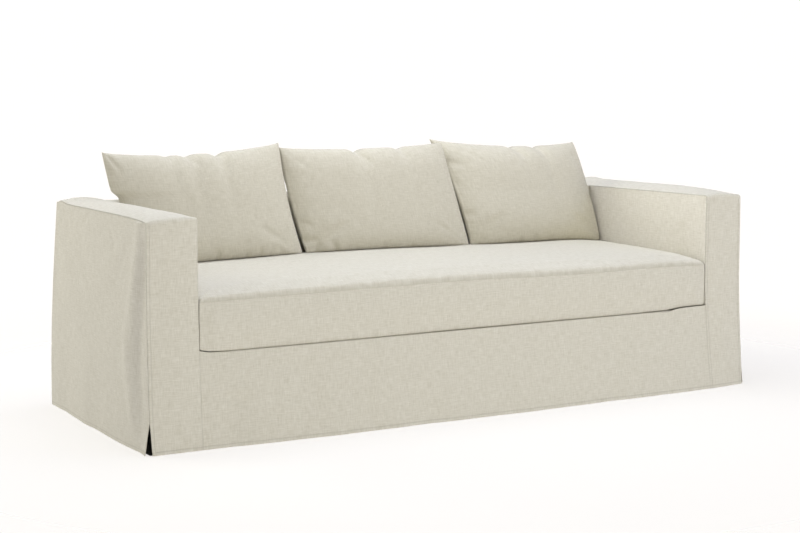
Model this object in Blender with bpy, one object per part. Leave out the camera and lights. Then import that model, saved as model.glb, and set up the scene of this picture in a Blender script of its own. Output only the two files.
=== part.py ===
"""Fitted slipcover of a three-seat sofa, with its covered seat cushion and back cushions.

Metres, +Z up.  The origin is on the floor under the middle of the cover, +X runs to the
right along the seat and +Y to the back.  The body of the cover is eleven cloths, each a
2 mm sheet cut between seam lines that it shares with its neighbours; it is hollow and
open underneath.  Each cushion is one filled solid.
"""
from collections import namedtuple

import bpy
import numpy as np

# ---- Driving sizes, metres ------------------------------------------------------------
WIDTH = 2.30            # over both arms, at their top seams
DEPTH = 0.86            # front of the arms to the back, at the top seams
HEIGHT = 0.702          # floor to the top seams of the arms and the back
ARM = 0.159             # width of an arm's top, and of the back's top
DECK = 0.291            # floor to the middle of the cloth under the seat cushion
CLOTH = 0.002           # thickness of every sheet
SEAM_GAP = 0.0003       # air left between two cloths that are sewn together
REST_GAP = 0.0006       # air left under a cushion that lies on something
BEND = 0.008            # radius over which the band turns from an arm's front to its top
CROWN = 0.019           # rise of an arm's top between its two seams
CROWN_START = 0.5       # share of that rise at the arm's front end
CROWN_REACH = 0.12      # how far back along the arm the rise is nearly whole
FACE_BULGE = 0.003      # swell of an arm's front between its two seams
DROOP_REACH = 0.09      # how far back along an arm the droop of its front corner dies away
DROOP_ROWS = 0.52       # rows of points above this height follow that droop
SLIT = 0.098            # height of the vent at each front corner
SLIT_CURVE = 1.3        # power by which the side cloth parts from the front one in the vent
SLIT_SPREAD = 0.0135    # how far the side cloth's vent edge swings outwards at the hem
SLIT_SET_BACK = 0.012   # and how far it moves back there
SLIT_REACH = 0.05       # how far back along the side cloth that swing dies away
SEAM_BOW = 0.0045       # how far the front corner seam bows outwards on its way down
SHOULDER_TOP = 0.045    # distance behind a front corner where the side cloth has swung out
SHOULDER_HEM = 0.175    # to its full kick, at the top and at the hem
SHOULDER_RISE = 1.3     # fullness of that swing: the tangent curve's factor
SHOULDER_POWER = 1.4    # and its power
BACK_CORNER = (0.030, 0.018)   # swing of a back corner at the hem: sideways, backwards
BACK_TURN = 0.15        # share of the depth over which the side cloth turns to that corner
FRONT_FREE = 0.41       # below this height the front cloths hang free and kick forwards
FRONT_CURVE = 1.5       # power of that kick
INNER_DIP = 0.005       # depth of the soft upright dip in an arm's inner cloth
INNER_DIP_AT = 0.12     # its place, and its half width, as shares of the cloth's length
INNER_DIP_WIDTH = 0.09
BACK_CROWN = 0.013      # rise of the back's top between its seams
SEAM_HOLD = 12          # power by which folds die out beside a cloth's two side seams

HALF = WIDTH / 2
INNER = HALF - ARM
FRONT = -DEPTH / 2
BACK = DEPTH / 2
BACK_IN = BACK - ARM
PULL = CLOTH / 2 + SEAM_GAP     # a cloth's middle stops this far short of a corner seam

# ---- How far the hem kicks out: place along the hem, kick -------------------------------
Kick = namedtuple("Kick", "at out")
FRONT_KICKS = (Kick(-1.16, 0.018), Kick(-0.991, 0.020), Kick(-0.70, 0.036), Kick(-0.10, 0.046),
               Kick(0.45, 0.050), Kick(0.991, 0.046), Kick(1.16, 0.030))
BACK_KICKS = (Kick(-1.19, 0.018), Kick(-0.80, 0.032), Kick(-0.25, 0.040), Kick(0.30, 0.035),
              Kick(0.80, 0.036), Kick(1.19, 0.018))
LEFT_KICKS = (Kick(-0.44, 0.021), Kick(-0.34, 0.025), Kick(-0.05, 0.025), Kick(0.12, 0.029),
              Kick(0.46, 0.030))
RIGHT_KICKS = (Kick(-0.44, 0.022), Kick(-0.30, 0.027), Kick(0.05, 0.029), Kick(0.25, 0.026),
               Kick(0.46, 0.030))

# ---- Soft folds of the hanging cloths: a line from its upper end to its lower end -------
# at and z are places on the cloth, width is the fold's half width, out its height
# (negative for a trough).
Fold = namedtuple("Fold", "at_up z_up at_low z_low width out")
LEFT_FOLDS = (Fold(-0.09, 0.70, -0.16, 0.60, 0.020, -0.003), Fold(0.05, 0.30, 0.08, 0.00, 0.070, 0.005),
              Fold(0.26, 0.34, 0.30, 0.00, 0.060, -0.005))
RIGHT_FOLDS = (Fold(-0.16, 0.34, -0.14, 0.00, 0.060, -0.006), Fold(0.10, 0.30, 0.12, 0.00, 0.070, 0.005),
               Fold(0.30, 0.26, 0.32, 0.00, 0.050, -0.004))
SKIRT_FOLDS = (Fold(-0.87, 0.20, -0.90, 0.04, 0.035, -0.006), Fold(-0.55, 0.22, -0.54, 0.00, 0.080, 0.004),
               Fold(-0.20, 0.20, -0.22, 0.00, 0.060, -0.005), Fold(0.16, 0.22, 0.18, 0.00, 0.080, 0.004),
               Fold(0.56, 0.22, 0.53, 0.00, 0.060, -0.006), Fold(0.84, 0.24, 0.86, 0.00, 0.060, 0.004))
BACK_FOLDS = (Fold(-0.85, 0.42, -0.88, 0.00, 0.080, -0.006), Fold(-0.35, 0.36, -0.33, 0.00, 0.090, 0.006),
              Fold(0.15, 0.42, 0.12, 0.00, 0.080, -0.006), Fold(0.62, 0.36, 0.66, 0.00, 0.090, 0.006))

# ---- Arms: side is -1 or 1, droop the drop of the top seam at the outer front corner ------
Arm = namedtuple("Arm", "name side droop kicks folds")
ARMS = (Arm("arm_left", -1, 0.008, LEFT_KICKS, LEFT_FOLDS),
        Arm("arm_right", 1, 0.003, RIGHT_KICKS, RIGHT_FOLDS))

# ---- Rows of points: from the top seam down to the hem, and from the front to the back --
HANG_ROWS = (HEIGHT - PULL, 0.685, 0.645, 0.585, 0.515, 0.445, 0.380, 0.330, DECK, 0.245, 0.195,
             0.145, SLIT, 0.065, 0.032, 0.0)
DEPTH_STEPS = (0.0, 0.010, 0.032, 0.065, 0.105, 0.150, 0.200, 0.260, 0.330, 0.420, 0.520, 0.620,
               0.720, 0.810, 0.870, 0.930, 0.985, 1.0)
INNER_STEPS = (0.0, 0.03, 0.08, 0.15, 0.25, 0.38, 0.52, 0.68, 0.84, 1.0)
SKIRT_COLUMNS = 40
BACK_COLUMNS = 28
BAND_COLUMNS = 5
BEND_STEPS = 4

# ---- Seat cushion ----------------------------------------------------------------------
SEAT_SIDE = 0.987       # half its width
SEAT_FRONT = FRONT - 0.002
SEAT_BACK = BACK_IN - 0.006
SEAT_CORNER = 0.015     # radius of its upright corners
SEAT_CROWN = 0.050      # rise of its top above the seam
SEAT_SHOULDER = 0.045   # distance over which the top rises from the front seam
SEAT_FORE = 0.80        # share of the crown behind that shoulder; the rest comes by SEAT_FULL
SEAT_FULL = 0.55
SEAT_REAR_TURN = 0.012  # distance over which the top rises from the rear seam
SEAT_SIDE_TURN = 0.006  # and from the side seams, for SEAT_SIDE_SHARE of the crown
SEAT_SIDE_SHARE = 0.72
SEAT_SIDE_SOFT = 0.18   # the rest of it rises over this distance
BOXING_BULGE = 0.008    # swell of the band between its top and bottom seams
BOXING_FADE = 0.10      # this far behind the front seam that swell has died away
SEAT_EDGE = 0.035       # width along its sides and rear where its top curves down to the seam
SEAT_BOTTOM = DECK + CLOTH / 2 + SEAM_GAP
SEAT_TUCK = 0.030       # how far inside its lower edge the cushion begins to lie flat
Edge = namedtuple("Edge", "x z")
TOP_SEAM = (Edge(-0.99, 0.449), Edge(-0.64, 0.453), Edge(-0.06, 0.458), Edge(0.44, 0.451),
            Edge(0.84, 0.455), Edge(0.99, 0.450))
LOW_SEAM = (Edge(-0.99, 0.305), Edge(-0.90, 0.297), Edge(-0.60, 0.295), Edge(0.00, 0.296),
            Edge(0.78, 0.295), Edge(0.99, 0.307))
SEAT_COLUMNS = (-1.0, -0.99, -0.97, -0.93, -0.86, -0.78, -0.68, -0.57, -0.46, -0.34, -0.23, -0.11,
                0.0, 0.11, 0.23, 0.34, 0.46, 0.57, 0.68, 0.78, 0.86, 0.93, 0.97, 0.99, 1.0)
SEAT_ROWS = (-1.0, -0.97, -0.91, -0.80, -0.64, -0.45, -0.22, 0.02, 0.28, 0.54, 0.78, 0.93, 1.0)
BOXING_RINGS = 3

# ---- Back cushions ---------------------------------------------------------------------
# The lower corners stand on the seat cushion at CUSHION_FOOT.  bow_left and bow_right are
# how far the side seams are drawn in halfway up, sag is the drop of the top seam between its
# corners, and each dip in it is (share of the width, depth).
BackCushion = namedtuple("BackCushion", "name low_left low_right top_left top_right "
                         "bow_left bow_right sag dips")
BACK_CUSHIONS = (
    BackCushion("back_cushion_left", -0.980, -0.338, (-1.025, 0.320, 0.874), (-0.376, 0.320, 0.895),
                0.0, 0.008, 0.024, ((0.52, 0.012), (0.72, 0.007))),
    BackCushion("back_cushion_middle", -0.312, 0.355, (-0.358, 0.320, 0.878), (0.312, 0.318, 0.884),
                -0.012, 0.008, 0.014, ((0.47, 0.009), (0.72, 0.006))),
    BackCushion("back_cushion_right", 0.368, 0.983, (0.296, 0.392, 0.898), (0.930, 0.320, 0.878),
                0.006, -0.008, 0.022, ((0.55, 0.008), (0.70, 0.006))))
CUSHION_FOOT = 0.190    # y of the seam that the back cushions stand on
DIP_WIDTH = 0.045       # half width of a dip, as a share of the cushion's width
FRONT_PUFF = 0.072      # swell of the face in front of the seams
REAR_PUFF = 0.055       # swell behind the seams, before the back flattens it
PUFF_POWER = 0.42       # 0.5 is a half ellipse; lower is fuller
FOOT_FULLNESS = 1.12    # share of the swell at a back cushion's foot and at its top
TOP_FULLNESS = 0.88
FRONT_WAY = (0.0, -0.98, 0.12)   # direction of the swell of the face, and of the rear
REAR_WAY = (0.0, 1.0, 0.0)
SAG_CURVE = 0.7         # power of the top seam's sag; lower is flatter between its corners
LEAN_CLEAR = 0.003      # air between a back cushion and the back it leans on
LEAN_SLOPE = 1.4        # how far back a cushion may lie for each metre that it is above the back
LEAN_ROUND = 120.0      # sharpness of its bend over the back
LEAN_FREE = 0.040       # above the back's top seam by this much, a cushion is free of it
ARM_CLEAR = 0.006       # air between a back cushion's side seam and an arm
TUCK_SHARE = 0.585      # share of a back cushion's height that stays between the arms
TUCK_FADE = 0.07        # further share over which it spreads out above them
CUSHION_COLUMNS = 16
CUSHION_ROWS = 14

# ---- Colours: linear red, green, blue ----------------------------------------------------
LINEN = (0.62, 0.59, 0.50)
LINEN_TOP = (0.68, 0.65, 0.57)
LINEN_CUSHION = (0.60, 0.57, 0.47)
LINEN_ROUGHNESS = 0.92


# ---- Small mathematics -------------------------------------------------------------------
def ease(share):
    """0 below 0, 1 above 1, and a smooth S between."""
    share = np.clip(share, 0, 1)
    return share * share * (3 - 2 * share)


def through(rows, place):
    """Smooth curve through the table's rows (place, value) that never swings past them: cubic
    pieces whose slope at a row is the harmonic mean of the slopes on its two sides, or none
    where the curve turns."""
    at = np.array([row[0] for row in rows])
    value = np.array([row[1] for row in rows])
    rise = np.diff(value) / np.diff(at)
    before = np.concatenate([rise[:1], rise])
    after = np.concatenate([rise, rise[-1:]])
    turns = before * after <= 0
    slope = np.where(turns, 0.0, 2 * before * after / np.where(turns, 1.0, before + after))
    place = np.clip(place, at[0], at[-1])
    left = np.clip(np.searchsorted(at, place, side="right") - 1, 0, len(at) - 2)
    step = at[left + 1] - at[left]
    t = (place - at[left]) / step
    return (value[left] * (1 + 2 * t) * (1 - t) ** 2 + slope[left] * step * t * (1 - t) ** 2
            + value[left + 1] * t * t * (3 - 2 * t) + slope[left + 1] * step * t * t * (t - 1))


def arch(share):
    """A parabola, 0 at shares 0 and 1 and 1 halfway."""
    return 4 * share * (1 - share)


def held(share):
    """1 over most of a cloth and 0 at its two side seams, for shares from -1 to 1."""
    return 1 - np.abs(share) ** SEAM_HOLD


def hang(z):
    """Share of the hem's kick that a side cloth has at height z: a quarter sine wave."""
    return np.sin(np.pi / 2 * np.clip(1 - z / HEIGHT, 0, 1))


def front_hang(z):
    """The same for the front cloths, which lie close above FRONT_FREE."""
    return np.clip(1 - z / FRONT_FREE, 0, 1) ** FRONT_CURVE


def folded(folds, at, z):
    """Sum of the folds' bell-shaped ridges and troughs, each fading in from its upper end."""
    total = np.zeros(np.broadcast(at, z).shape)
    for fold in folds:
        run = (fold.z_up - z) / (fold.z_up - fold.z_low)
        middle = fold.at_up + (fold.at_low - fold.at_up) * np.clip(run, 0, 1)
        total += fold.out * ease(run) * ease(3 - 2 * run) * np.exp(-((at - middle) / fold.width) ** 2)
    return total


def crowded(steps):
    """Shares from 0 to 1 that lie closer together towards both ends."""
    even = np.linspace(0, 1, steps + 1)
    return 0.5 * even + 0.25 * (1 - np.cos(np.pi * even))


# ---- Seam lines of the body --------------------------------------------------------------
def front_y(x, z):
    """Face of the front cloths: the arms' fronts and the skirt between them."""
    return FRONT - through(FRONT_KICKS, x) * front_hang(z)


def corner_x(z):
    """Distance of a front corner seam from the middle of the cover."""
    return HALF + SEAM_BOW * hang(z)


def outer_seam_z(arm, y):
    """Height of an arm's outer top seam, drooping towards its front end."""
    return HEIGHT - arm.droop * np.exp(-(y - FRONT) / DROOP_REACH)


# ---- Building one cloth or cushion ---------------------------------------------------------
def material(name, colour):
    made = bpy.data.materials.new(name)
    made.use_nodes = True
    shader = made.node_tree.nodes["Principled BSDF"]
    shader.inputs["Base Color"].default_value = (*colour, 1)
    shader.inputs["Roughness"].default_value = LINEN_ROUGHNESS
    shader.inputs["Metallic"].default_value = 0
    made.diffuse_color = (*colour, 1)
    return made


def grid_faces(rows, columns, first=0):
    """Quads of a grid of points numbered row by row from first."""
    corner = first + np.arange((rows - 1) * columns).reshape(rows - 1, columns)[:, :-1].ravel()
    return np.stack([corner, corner + 1, corner + columns + 1, corner + columns], axis=1).tolist()


def add_object(name, points, faces, colour):
    mesh = bpy.data.meshes.new(name)
    mesh.from_pydata(np.asarray(points).reshape(-1, 3).tolist(), [], faces)
    mesh.validate()
    mesh.shade_smooth()
    mesh.materials.append(material(name + "_linen", colour))
    made = bpy.data.objects.new(name, mesh)
    bpy.context.collection.objects.link(made)
    return made


def add_sheet(name, points, colour, flip=False):
    """A cloth from its middle surface, an array of rows x columns x 3."""
    rows, columns = points.shape[:2]
    faces = grid_faces(rows, columns)
    if flip:
        faces = [face[::-1] for face in faces]
    sheet = add_object(name, points, faces, colour)
    wall = sheet.modifiers.new("cloth", "SOLIDIFY")
    wall.thickness = CLOTH
    wall.offset = 0
    return sheet


def add_pillow(name, front, rear, colour):
    """One closed body from two grids of points that share their outer ring."""
    rows, columns = front.shape[:2]
    count = rows * columns
    number = np.arange(count).reshape(rows, columns)
    inside = number[1:-1, 1:-1].ravel()
    rear_number = number.copy().ravel()
    rear_number[inside] = count + np.arange(inside.size)
    faces = grid_faces(rows, columns)
    rear_faces = rear_number[np.array(faces)][:, ::-1].tolist()
    points = np.concatenate([front.reshape(-1, 3), rear.reshape(-1, 3)[inside]])
    return add_object(name, points, faces + rear_faces, colour)


# ---- Arms ---------------------------------------------------------------------------------
def arm_band(arm):
    """One strip: up the arm's front from the hem, over the bend and back along its top."""
    share = np.linspace(0, 1, BAND_COLUMNS + 1)
    swell = arch(share)
    front_z = np.array([z for z in HANG_ROWS[::-1] if z < HEIGHT - 2 * BEND])[:, None]
    outer = corner_x(front_z) - PULL
    x_front = arm.side * (outer + (INNER + PULL - outer) * share)
    y_front = front_y(x_front, front_z) - FACE_BULGE * swell * ease(front_z / SLIT)
    front = np.stack(np.broadcast_arrays(x_front, y_front, front_z), axis=-1)

    top_y = FRONT + BEND + (DEPTH - PULL - BEND) * np.array(DEPTH_STEPS)[:, None]
    x_top = arm.side * (HALF - PULL + (INNER + 2 * PULL - HALF) * share)
    rise = 1 - (1 - CROWN_START) * np.exp(-(top_y - FRONT) / CROWN_REACH)
    z_top = outer_seam_z(arm, top_y) * (1 - share) + HEIGHT * share + CROWN * rise * swell
    top = np.stack(np.broadcast_arrays(x_top, top_y, z_top), axis=-1)

    turn = (np.pi / 2 * np.arange(BEND_STEPS) / BEND_STEPS)[:, None]
    y_bend = FRONT + BEND - (BEND + FACE_BULGE * swell) * np.cos(turn)
    z_bend = z_top[0] - BEND + BEND * np.sin(turn) - CROWN * rise[0] * swell * (1 - np.sin(turn))
    bend = np.stack(np.broadcast_arrays(x_top, y_bend, z_bend), axis=-1)

    points = np.concatenate([front, bend, top])
    add_sheet(arm.name + "_band", points, LINEN_TOP, flip=arm.side > 0)


def arm_outer(arm):
    """The side cloth, from the top seam to the hem, loose along its vent edge."""
    z = np.array(HANG_ROWS)[:, None]
    share = np.array(DEPTH_STEPS)
    vent = np.clip(1 - z / SLIT, 0, 1) ** SLIT_CURVE
    y_near = front_y(arm.side * HALF, z) + PULL + SLIT_SET_BACK * vent
    y_far = BACK + BACK_CORNER[1] * hang(z) - PULL
    y = y_near + (y_far - y_near) * share
    shoulder = SHOULDER_TOP + (SHOULDER_HEM - SHOULDER_TOP) * (1 - z / HEIGHT)
    swung = np.tanh(SHOULDER_RISE * ((y - y_near) / shoulder) ** SHOULDER_POWER)
    turned = ease((share - 1 + BACK_TURN) / BACK_TURN)
    out = SEAM_BOW + (through(arm.kicks, y) - SEAM_BOW) * swung
    out += (BACK_CORNER[0] - out) * turned
    x = HALF + out * hang(z) + SLIT_SPREAD * vent * np.exp(-(y - y_near) / SLIT_REACH)
    x += folded(arm.folds, y, z) * swung * (1 - turned)
    drooped = ease((z - DROOP_ROWS) / (HANG_ROWS[0] - DROOP_ROWS))
    z_cloth = z + (outer_seam_z(arm, y) - HEIGHT) * drooped
    points = np.stack(np.broadcast_arrays(arm.side * x, y, z_cloth), axis=-1)
    points[0, 0] += np.array([0, BEND, -BEND]) * (1 - np.sqrt(0.5))
    add_sheet(arm.name + "_outer", points, LINEN, flip=arm.side < 0)


def arm_inner(arm):
    """The cloth between the arm's top and the deck, facing the seat, with a dip near its front."""
    z = np.array([row for row in HANG_ROWS if row > DECK] + [DECK + PULL])[:, None]
    near = front_y(arm.side * INNER, z) + PULL
    share = np.array(INNER_STEPS)
    y = near + (BACK_IN - PULL - near) * share
    dip = INNER_DIP * np.exp(-((share - INNER_DIP_AT) / INNER_DIP_WIDTH) ** 2)
    height = np.clip((z - DECK) / (HEIGHT - DECK), 0, 1)
    x = arm.side * (INNER + dip * np.sin(np.pi * height) * ease(2 * share / INNER_DIP_WIDTH))
    points = np.stack(np.broadcast_arrays(x, y, z), axis=-1)
    add_sheet(arm.name + "_inner", points, LINEN, flip=arm.side > 0)


# ---- Front, deck and back -------------------------------------------------------------------
def front_skirt():
    """The cloth that hangs from the deck's front edge to the hem, between the arms' fronts."""
    z = np.array([DECK - PULL] + [row for row in HANG_ROWS if row < DECK])[:, None]
    side = INNER + PULL - SEAM_GAP
    x = side * np.linspace(-1, 1, SKIRT_COLUMNS + 1)
    y = front_y(x, z) - folded(SKIRT_FOLDS, x, z) * held(x / side)
    points = np.stack(np.broadcast_arrays(x, y, z), axis=-1)
    add_sheet("front_skirt", points, LINEN)


def seat_deck():
    """The flat cloth under the seat cushion."""
    x = INNER * np.linspace(-1, 1, 13)
    share = np.array([0.0, 0.5, 1.0])[:, None]
    near = front_y(x, DECK) + PULL
    y = near + (BACK_IN - near) * share
    points = np.stack(np.broadcast_arrays(x, y, DECK), axis=-1)
    add_sheet("seat_deck", points, LINEN)


def back_inner():
    """The cloth that the back cushions lean on."""
    x = (INNER - PULL) * np.linspace(-1, 1, 11)
    z = np.linspace(HEIGHT - PULL, DECK + PULL, 4)[:, None]
    points = np.stack(np.broadcast_arrays(x, BACK_IN, z), axis=-1)
    add_sheet("back_inner", points, LINEN)


def back_top():
    """The strip along the top of the back, between the arms' bands, whose edges slope up
    towards their crowns and so need a wider gap."""
    side = INNER + PULL - 3 * SEAM_GAP
    x = side * np.linspace(-1, 1, 21)
    share = np.linspace(0, 1, 5)[:, None]
    y = BACK_IN + PULL + (ARM - 2 * PULL) * share
    z = HEIGHT + BACK_CROWN * arch(share) * held(x / side)
    points = np.stack(np.broadcast_arrays(x, y, z), axis=-1)
    add_sheet("back_top", points, LINEN_TOP, flip=True)


def back_outer():
    """The cloth behind the back, from the top seam to the hem, over the full width."""
    z = np.array(HANG_ROWS)[:, None]
    side = HALF + BACK_CORNER[0] * hang(z) - PULL
    share = np.linspace(-1, 1, BACK_COLUMNS + 1)
    x = side * share
    free = through(BACK_KICKS, x) * hang(z) + folded(BACK_FOLDS, x, z)
    corner = BACK_CORNER[1] * hang(z)
    y = BACK + corner + (free - corner) * held(share)
    points = np.stack(np.broadcast_arrays(x, y, z), axis=-1)
    add_sheet("back_outer", points, LINEN, flip=True)


# ---- Cushions --------------------------------------------------------------------------------
def seat_top_z(x, y):
    """Top of the seat cushion: its seam's height plus a crown that rises quickly behind the
    front seam and stays fuller in the middle than beside the arms."""
    behind = np.clip(y - SEAT_FRONT, 0, None)
    ahead = np.clip(SEAT_BACK - y, 0, None)
    beside = np.clip(SEAT_SIDE - np.abs(x), 0, None)
    front = 1 - np.exp(-behind / SEAT_SHOULDER)
    slope = SEAT_FORE + (1 - SEAT_FORE) * ease(behind / SEAT_FULL)
    rear = 1 - np.exp(-ahead / SEAT_REAR_TURN)
    side = (SEAT_SIDE_SHARE * (1 - np.exp(-beside / SEAT_SIDE_TURN))
            + (1 - SEAT_SIDE_SHARE) * (1 - np.exp(-beside / SEAT_SIDE_SOFT)))
    return through(TOP_SEAM, x) + SEAT_CROWN * front * slope * rear * side


def rounded(x, y, half_x, near, far, radius):
    """Points of a rectangle with its four corners rounded: a point past a corner's arc is
    brought in along the radius."""
    middle = (near + far) / 2
    half_y = (far - near) / 2
    past_x = np.clip(np.abs(x) - (half_x - radius), 0, None)
    past_y = np.clip(np.abs(y - middle) - (half_y - radius), 0, None)
    reach = np.hypot(past_x, past_y)
    scale = np.where(reach > radius, radius / np.maximum(reach, 1e-9), 1.0)
    new_x = np.sign(x) * (np.abs(x) - past_x + past_x * scale)
    new_y = middle + np.sign(y - middle) * (np.abs(y - middle) - past_y + past_y * scale)
    return new_x, new_y


def seat_cushion():
    """Box cushion: a crowned top, a band around it and a bottom that lies flat on the deck."""
    middle_y = (SEAT_FRONT + SEAT_BACK) / 2
    half_y = (SEAT_BACK - SEAT_FRONT) / 2
    x, y = np.meshgrid(SEAT_SIDE * np.array(SEAT_COLUMNS), middle_y + half_y * np.array(SEAT_ROWS))
    x, y = rounded(x, y, SEAT_SIDE, SEAT_FRONT, SEAT_BACK, SEAT_CORNER)
    top = np.stack([x, y, seat_top_z(x, y)], axis=-1)
    rows, columns = x.shape
    number = np.arange(rows * columns).reshape(rows, columns)
    ring = np.concatenate([number[0, :-1], number[:-1, -1], number[-1, :0:-1], number[:0:-1, 0]])
    edge = top.reshape(-1, 3)[ring]
    low_z = through(LOW_SEAM, edge[:, 0])
    forwards = ease((SEAT_FRONT + BOXING_FADE - edge[:, 1]) / (BOXING_FADE / 2))

    rings = []
    for step in range(1, BOXING_RINGS + 2):
        share = step / (BOXING_RINGS + 1)
        wall = edge.copy()
        wall[:, 1] -= BOXING_BULGE * arch(share) * forwards
        wall[:, 2] += (low_z - edge[:, 2]) * share
        rings.append(wall)
    flat_x = edge[:, 0] * (1 - SEAT_TUCK / SEAT_SIDE)
    flat_y = middle_y + (edge[:, 1] - middle_y) * (1 - SEAT_TUCK / half_y)
    flat_x, flat_y = rounded(flat_x, flat_y, SEAT_SIDE - SEAT_TUCK, SEAT_FRONT + SEAT_TUCK,
                             SEAT_BACK - SEAT_TUCK, SEAT_CORNER)
    rings.append(np.stack([flat_x, flat_y, np.full(len(ring), SEAT_BOTTOM)], axis=1))

    faces = grid_faces(rows, columns)
    upper = ring
    first = rows * columns
    for wall in rings:
        lower = first + np.arange(len(ring))
        band = np.stack([upper, lower, np.roll(lower, -1), np.roll(upper, -1)], axis=1)
        faces += band.tolist()
        upper = lower
        first += len(ring)
    faces.append(upper[::-1].tolist())
    add_object("seat_cushion", np.concatenate([top.reshape(-1, 3)] + rings), faces, LINEN_CUSHION)


def rest_z(x, y):
    """Height at which a back cushion lies on the seat cushion.  Where the seat's top curves
    down to its side and rear seams, the back cushion bridges level over the curve."""
    level_x = np.clip(x, SEAT_EDGE - SEAT_SIDE, SEAT_SIDE - SEAT_EDGE)
    level_y = np.minimum(y, SEAT_BACK - SEAT_EDGE)
    return seat_top_z(level_x, level_y) + REST_GAP


def before_back(y, z):
    """y held in front of the back as high as its top seam, and let over it above that: a
    rounded minimum of y and the line where the cushion is stopped."""
    stop = BACK_IN - CLOTH / 2 - LEAN_CLEAR + LEAN_SLOPE * np.clip(z - HEIGHT - LEAN_FREE, 0, None)
    return -np.logaddexp(-LEAN_ROUND * y, -LEAN_ROUND * stop) / LEAN_ROUND


def back_cushion(kind):
    """Knife-edge cushion standing on the seat and leaning on the back.  Its four seams span a
    smooth patch; the face swells forwards from it, and the rear backwards until the back
    stops it."""
    u = crowded(CUSHION_COLUMNS)
    v = crowded(CUSHION_ROWS)[:, None]
    top_left = np.array(kind.top_left)
    top_right = np.array(kind.top_right)

    low = np.zeros((len(u), 3))
    low[:, 0] = kind.low_left + (kind.low_right - kind.low_left) * u
    low[:, 1] = CUSHION_FOOT
    low[:, 2] = rest_z(low[:, 0], low[:, 1])
    high = top_left + (top_right - top_left) * u[:, None]
    high[:, 2] -= kind.sag * arch(u) ** SAG_CURVE
    for place, depth in kind.dips:
        high[:, 2] -= depth * np.exp(-((u - place) / DIP_WIDTH) ** 2)
    left = low[0] + (high[0] - low[0]) * v
    right = low[-1] + (high[-1] - low[-1]) * v
    drawn = arch(v[:, 0])
    left[:, 0] += kind.bow_left * drawn
    right[:, 0] -= kind.bow_right * drawn
    free = ease((v[:, 0] - TUCK_SHARE) / TUCK_FADE)
    for seam in (left, right):
        between = np.clip(seam[:, 0], ARM_CLEAR - INNER, INNER - ARM_CLEAR)
        seam[:, 0] += (between - seam[:, 0]) * (1 - free)

    across = u[None, :, None]
    upward = v[:, :, None]
    patch = ((1 - across) * left[:, None, :] + across * right[:, None, :]
             + (1 - upward) * low[None, :, :] + upward * high[None, :, :]
             - (1 - across) * (1 - upward) * low[0] - across * (1 - upward) * low[-1]
             - (1 - across) * upward * high[0] - across * upward * high[-1])
    patch[:, :, 1] = before_back(patch[:, :, 1], patch[:, :, 2])
    fullness = (arch(u) * arch(v)) ** PUFF_POWER * (FOOT_FULLNESS + (TOP_FULLNESS - FOOT_FULLNESS) * v)
    front = patch + fullness[:, :, None] * FRONT_PUFF * np.array(FRONT_WAY)
    rear = patch + fullness[:, :, None] * REAR_PUFF * np.array(REAR_WAY)
    rear[:, :, 1] = before_back(rear[:, :, 1], rear[:, :, 2])
    for side in (front, rear):
        side[:, :, 2] = np.maximum(side[:, :, 2], rest_z(side[:, :, 0], side[:, :, 1]))
    add_pillow(kind.name, front, rear, LINEN_CUSHION)


def main():
    for old in list(bpy.data.objects):
        bpy.data.objects.remove(old)
    for arm in ARMS:
        arm_band(arm)
        arm_outer(arm)
        arm_inner(arm)
    front_skirt()
    seat_deck()
    back_inner()
    back_top()
    back_outer()
    seat_cushion()
    for kind in BACK_CUSHIONS:
        back_cushion(kind)


main()
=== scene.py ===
"""Looks of a fitted linen slipcover for a three-seat sofa, with its bench cushion and three
back cushions.  Metres, +Z up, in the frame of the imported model.

Every cloth is a thin sheet whose middle surface is a function of two places on the flat cut:
across it and along it.  Folds, rolled seams, hems and creases are heights added along the
surface's normal.  The same two places are kept on the mesh, and the weave reads them.
"""
from collections import namedtuple

import bpy
import numpy as np
from bpy.props import FloatProperty, FloatVectorProperty, PointerProperty
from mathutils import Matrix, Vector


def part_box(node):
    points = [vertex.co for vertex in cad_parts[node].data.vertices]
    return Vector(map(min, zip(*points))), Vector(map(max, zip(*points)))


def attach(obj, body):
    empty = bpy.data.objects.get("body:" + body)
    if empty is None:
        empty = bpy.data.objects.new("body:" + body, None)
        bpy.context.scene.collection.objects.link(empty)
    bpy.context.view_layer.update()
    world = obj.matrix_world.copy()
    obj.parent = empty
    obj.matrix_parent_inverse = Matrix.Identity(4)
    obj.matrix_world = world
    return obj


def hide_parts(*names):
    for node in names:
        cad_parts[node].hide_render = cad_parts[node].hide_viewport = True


bl_info = {
    "name": "Sofa Slipcover",
    "version": (1, 0, 0),
    "blender": (4, 5, 0),
    "location": "3D View > Sidebar > Slipcover",
    "description": "Lays the cloths of a fitted sofa slipcover and fills its cushions",
    "category": "Add Mesh",
}

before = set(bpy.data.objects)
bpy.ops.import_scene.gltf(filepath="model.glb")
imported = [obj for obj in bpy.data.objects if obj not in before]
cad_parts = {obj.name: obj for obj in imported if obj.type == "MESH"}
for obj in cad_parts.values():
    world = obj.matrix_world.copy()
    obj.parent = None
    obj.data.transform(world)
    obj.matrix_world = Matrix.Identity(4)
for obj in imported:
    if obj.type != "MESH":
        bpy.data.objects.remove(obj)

# ---- The cover's driving sizes, metres, from the frame ----
CLOTH = 0.002  # thickness of every sheet
SEAM_GAP = 0.0003  # air between two cloths that are sewn together
PULL = CLOTH / 2 + SEAM_GAP  # a cloth's middle stops this far short of a corner seam
LAP = CLOTH / 2 - SEAM_GAP  # and the cloth that covers its edge there goes this far past it
SEAM_BOW = 0.0045  # how far the front corner seam bows outwards on its way down

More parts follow.
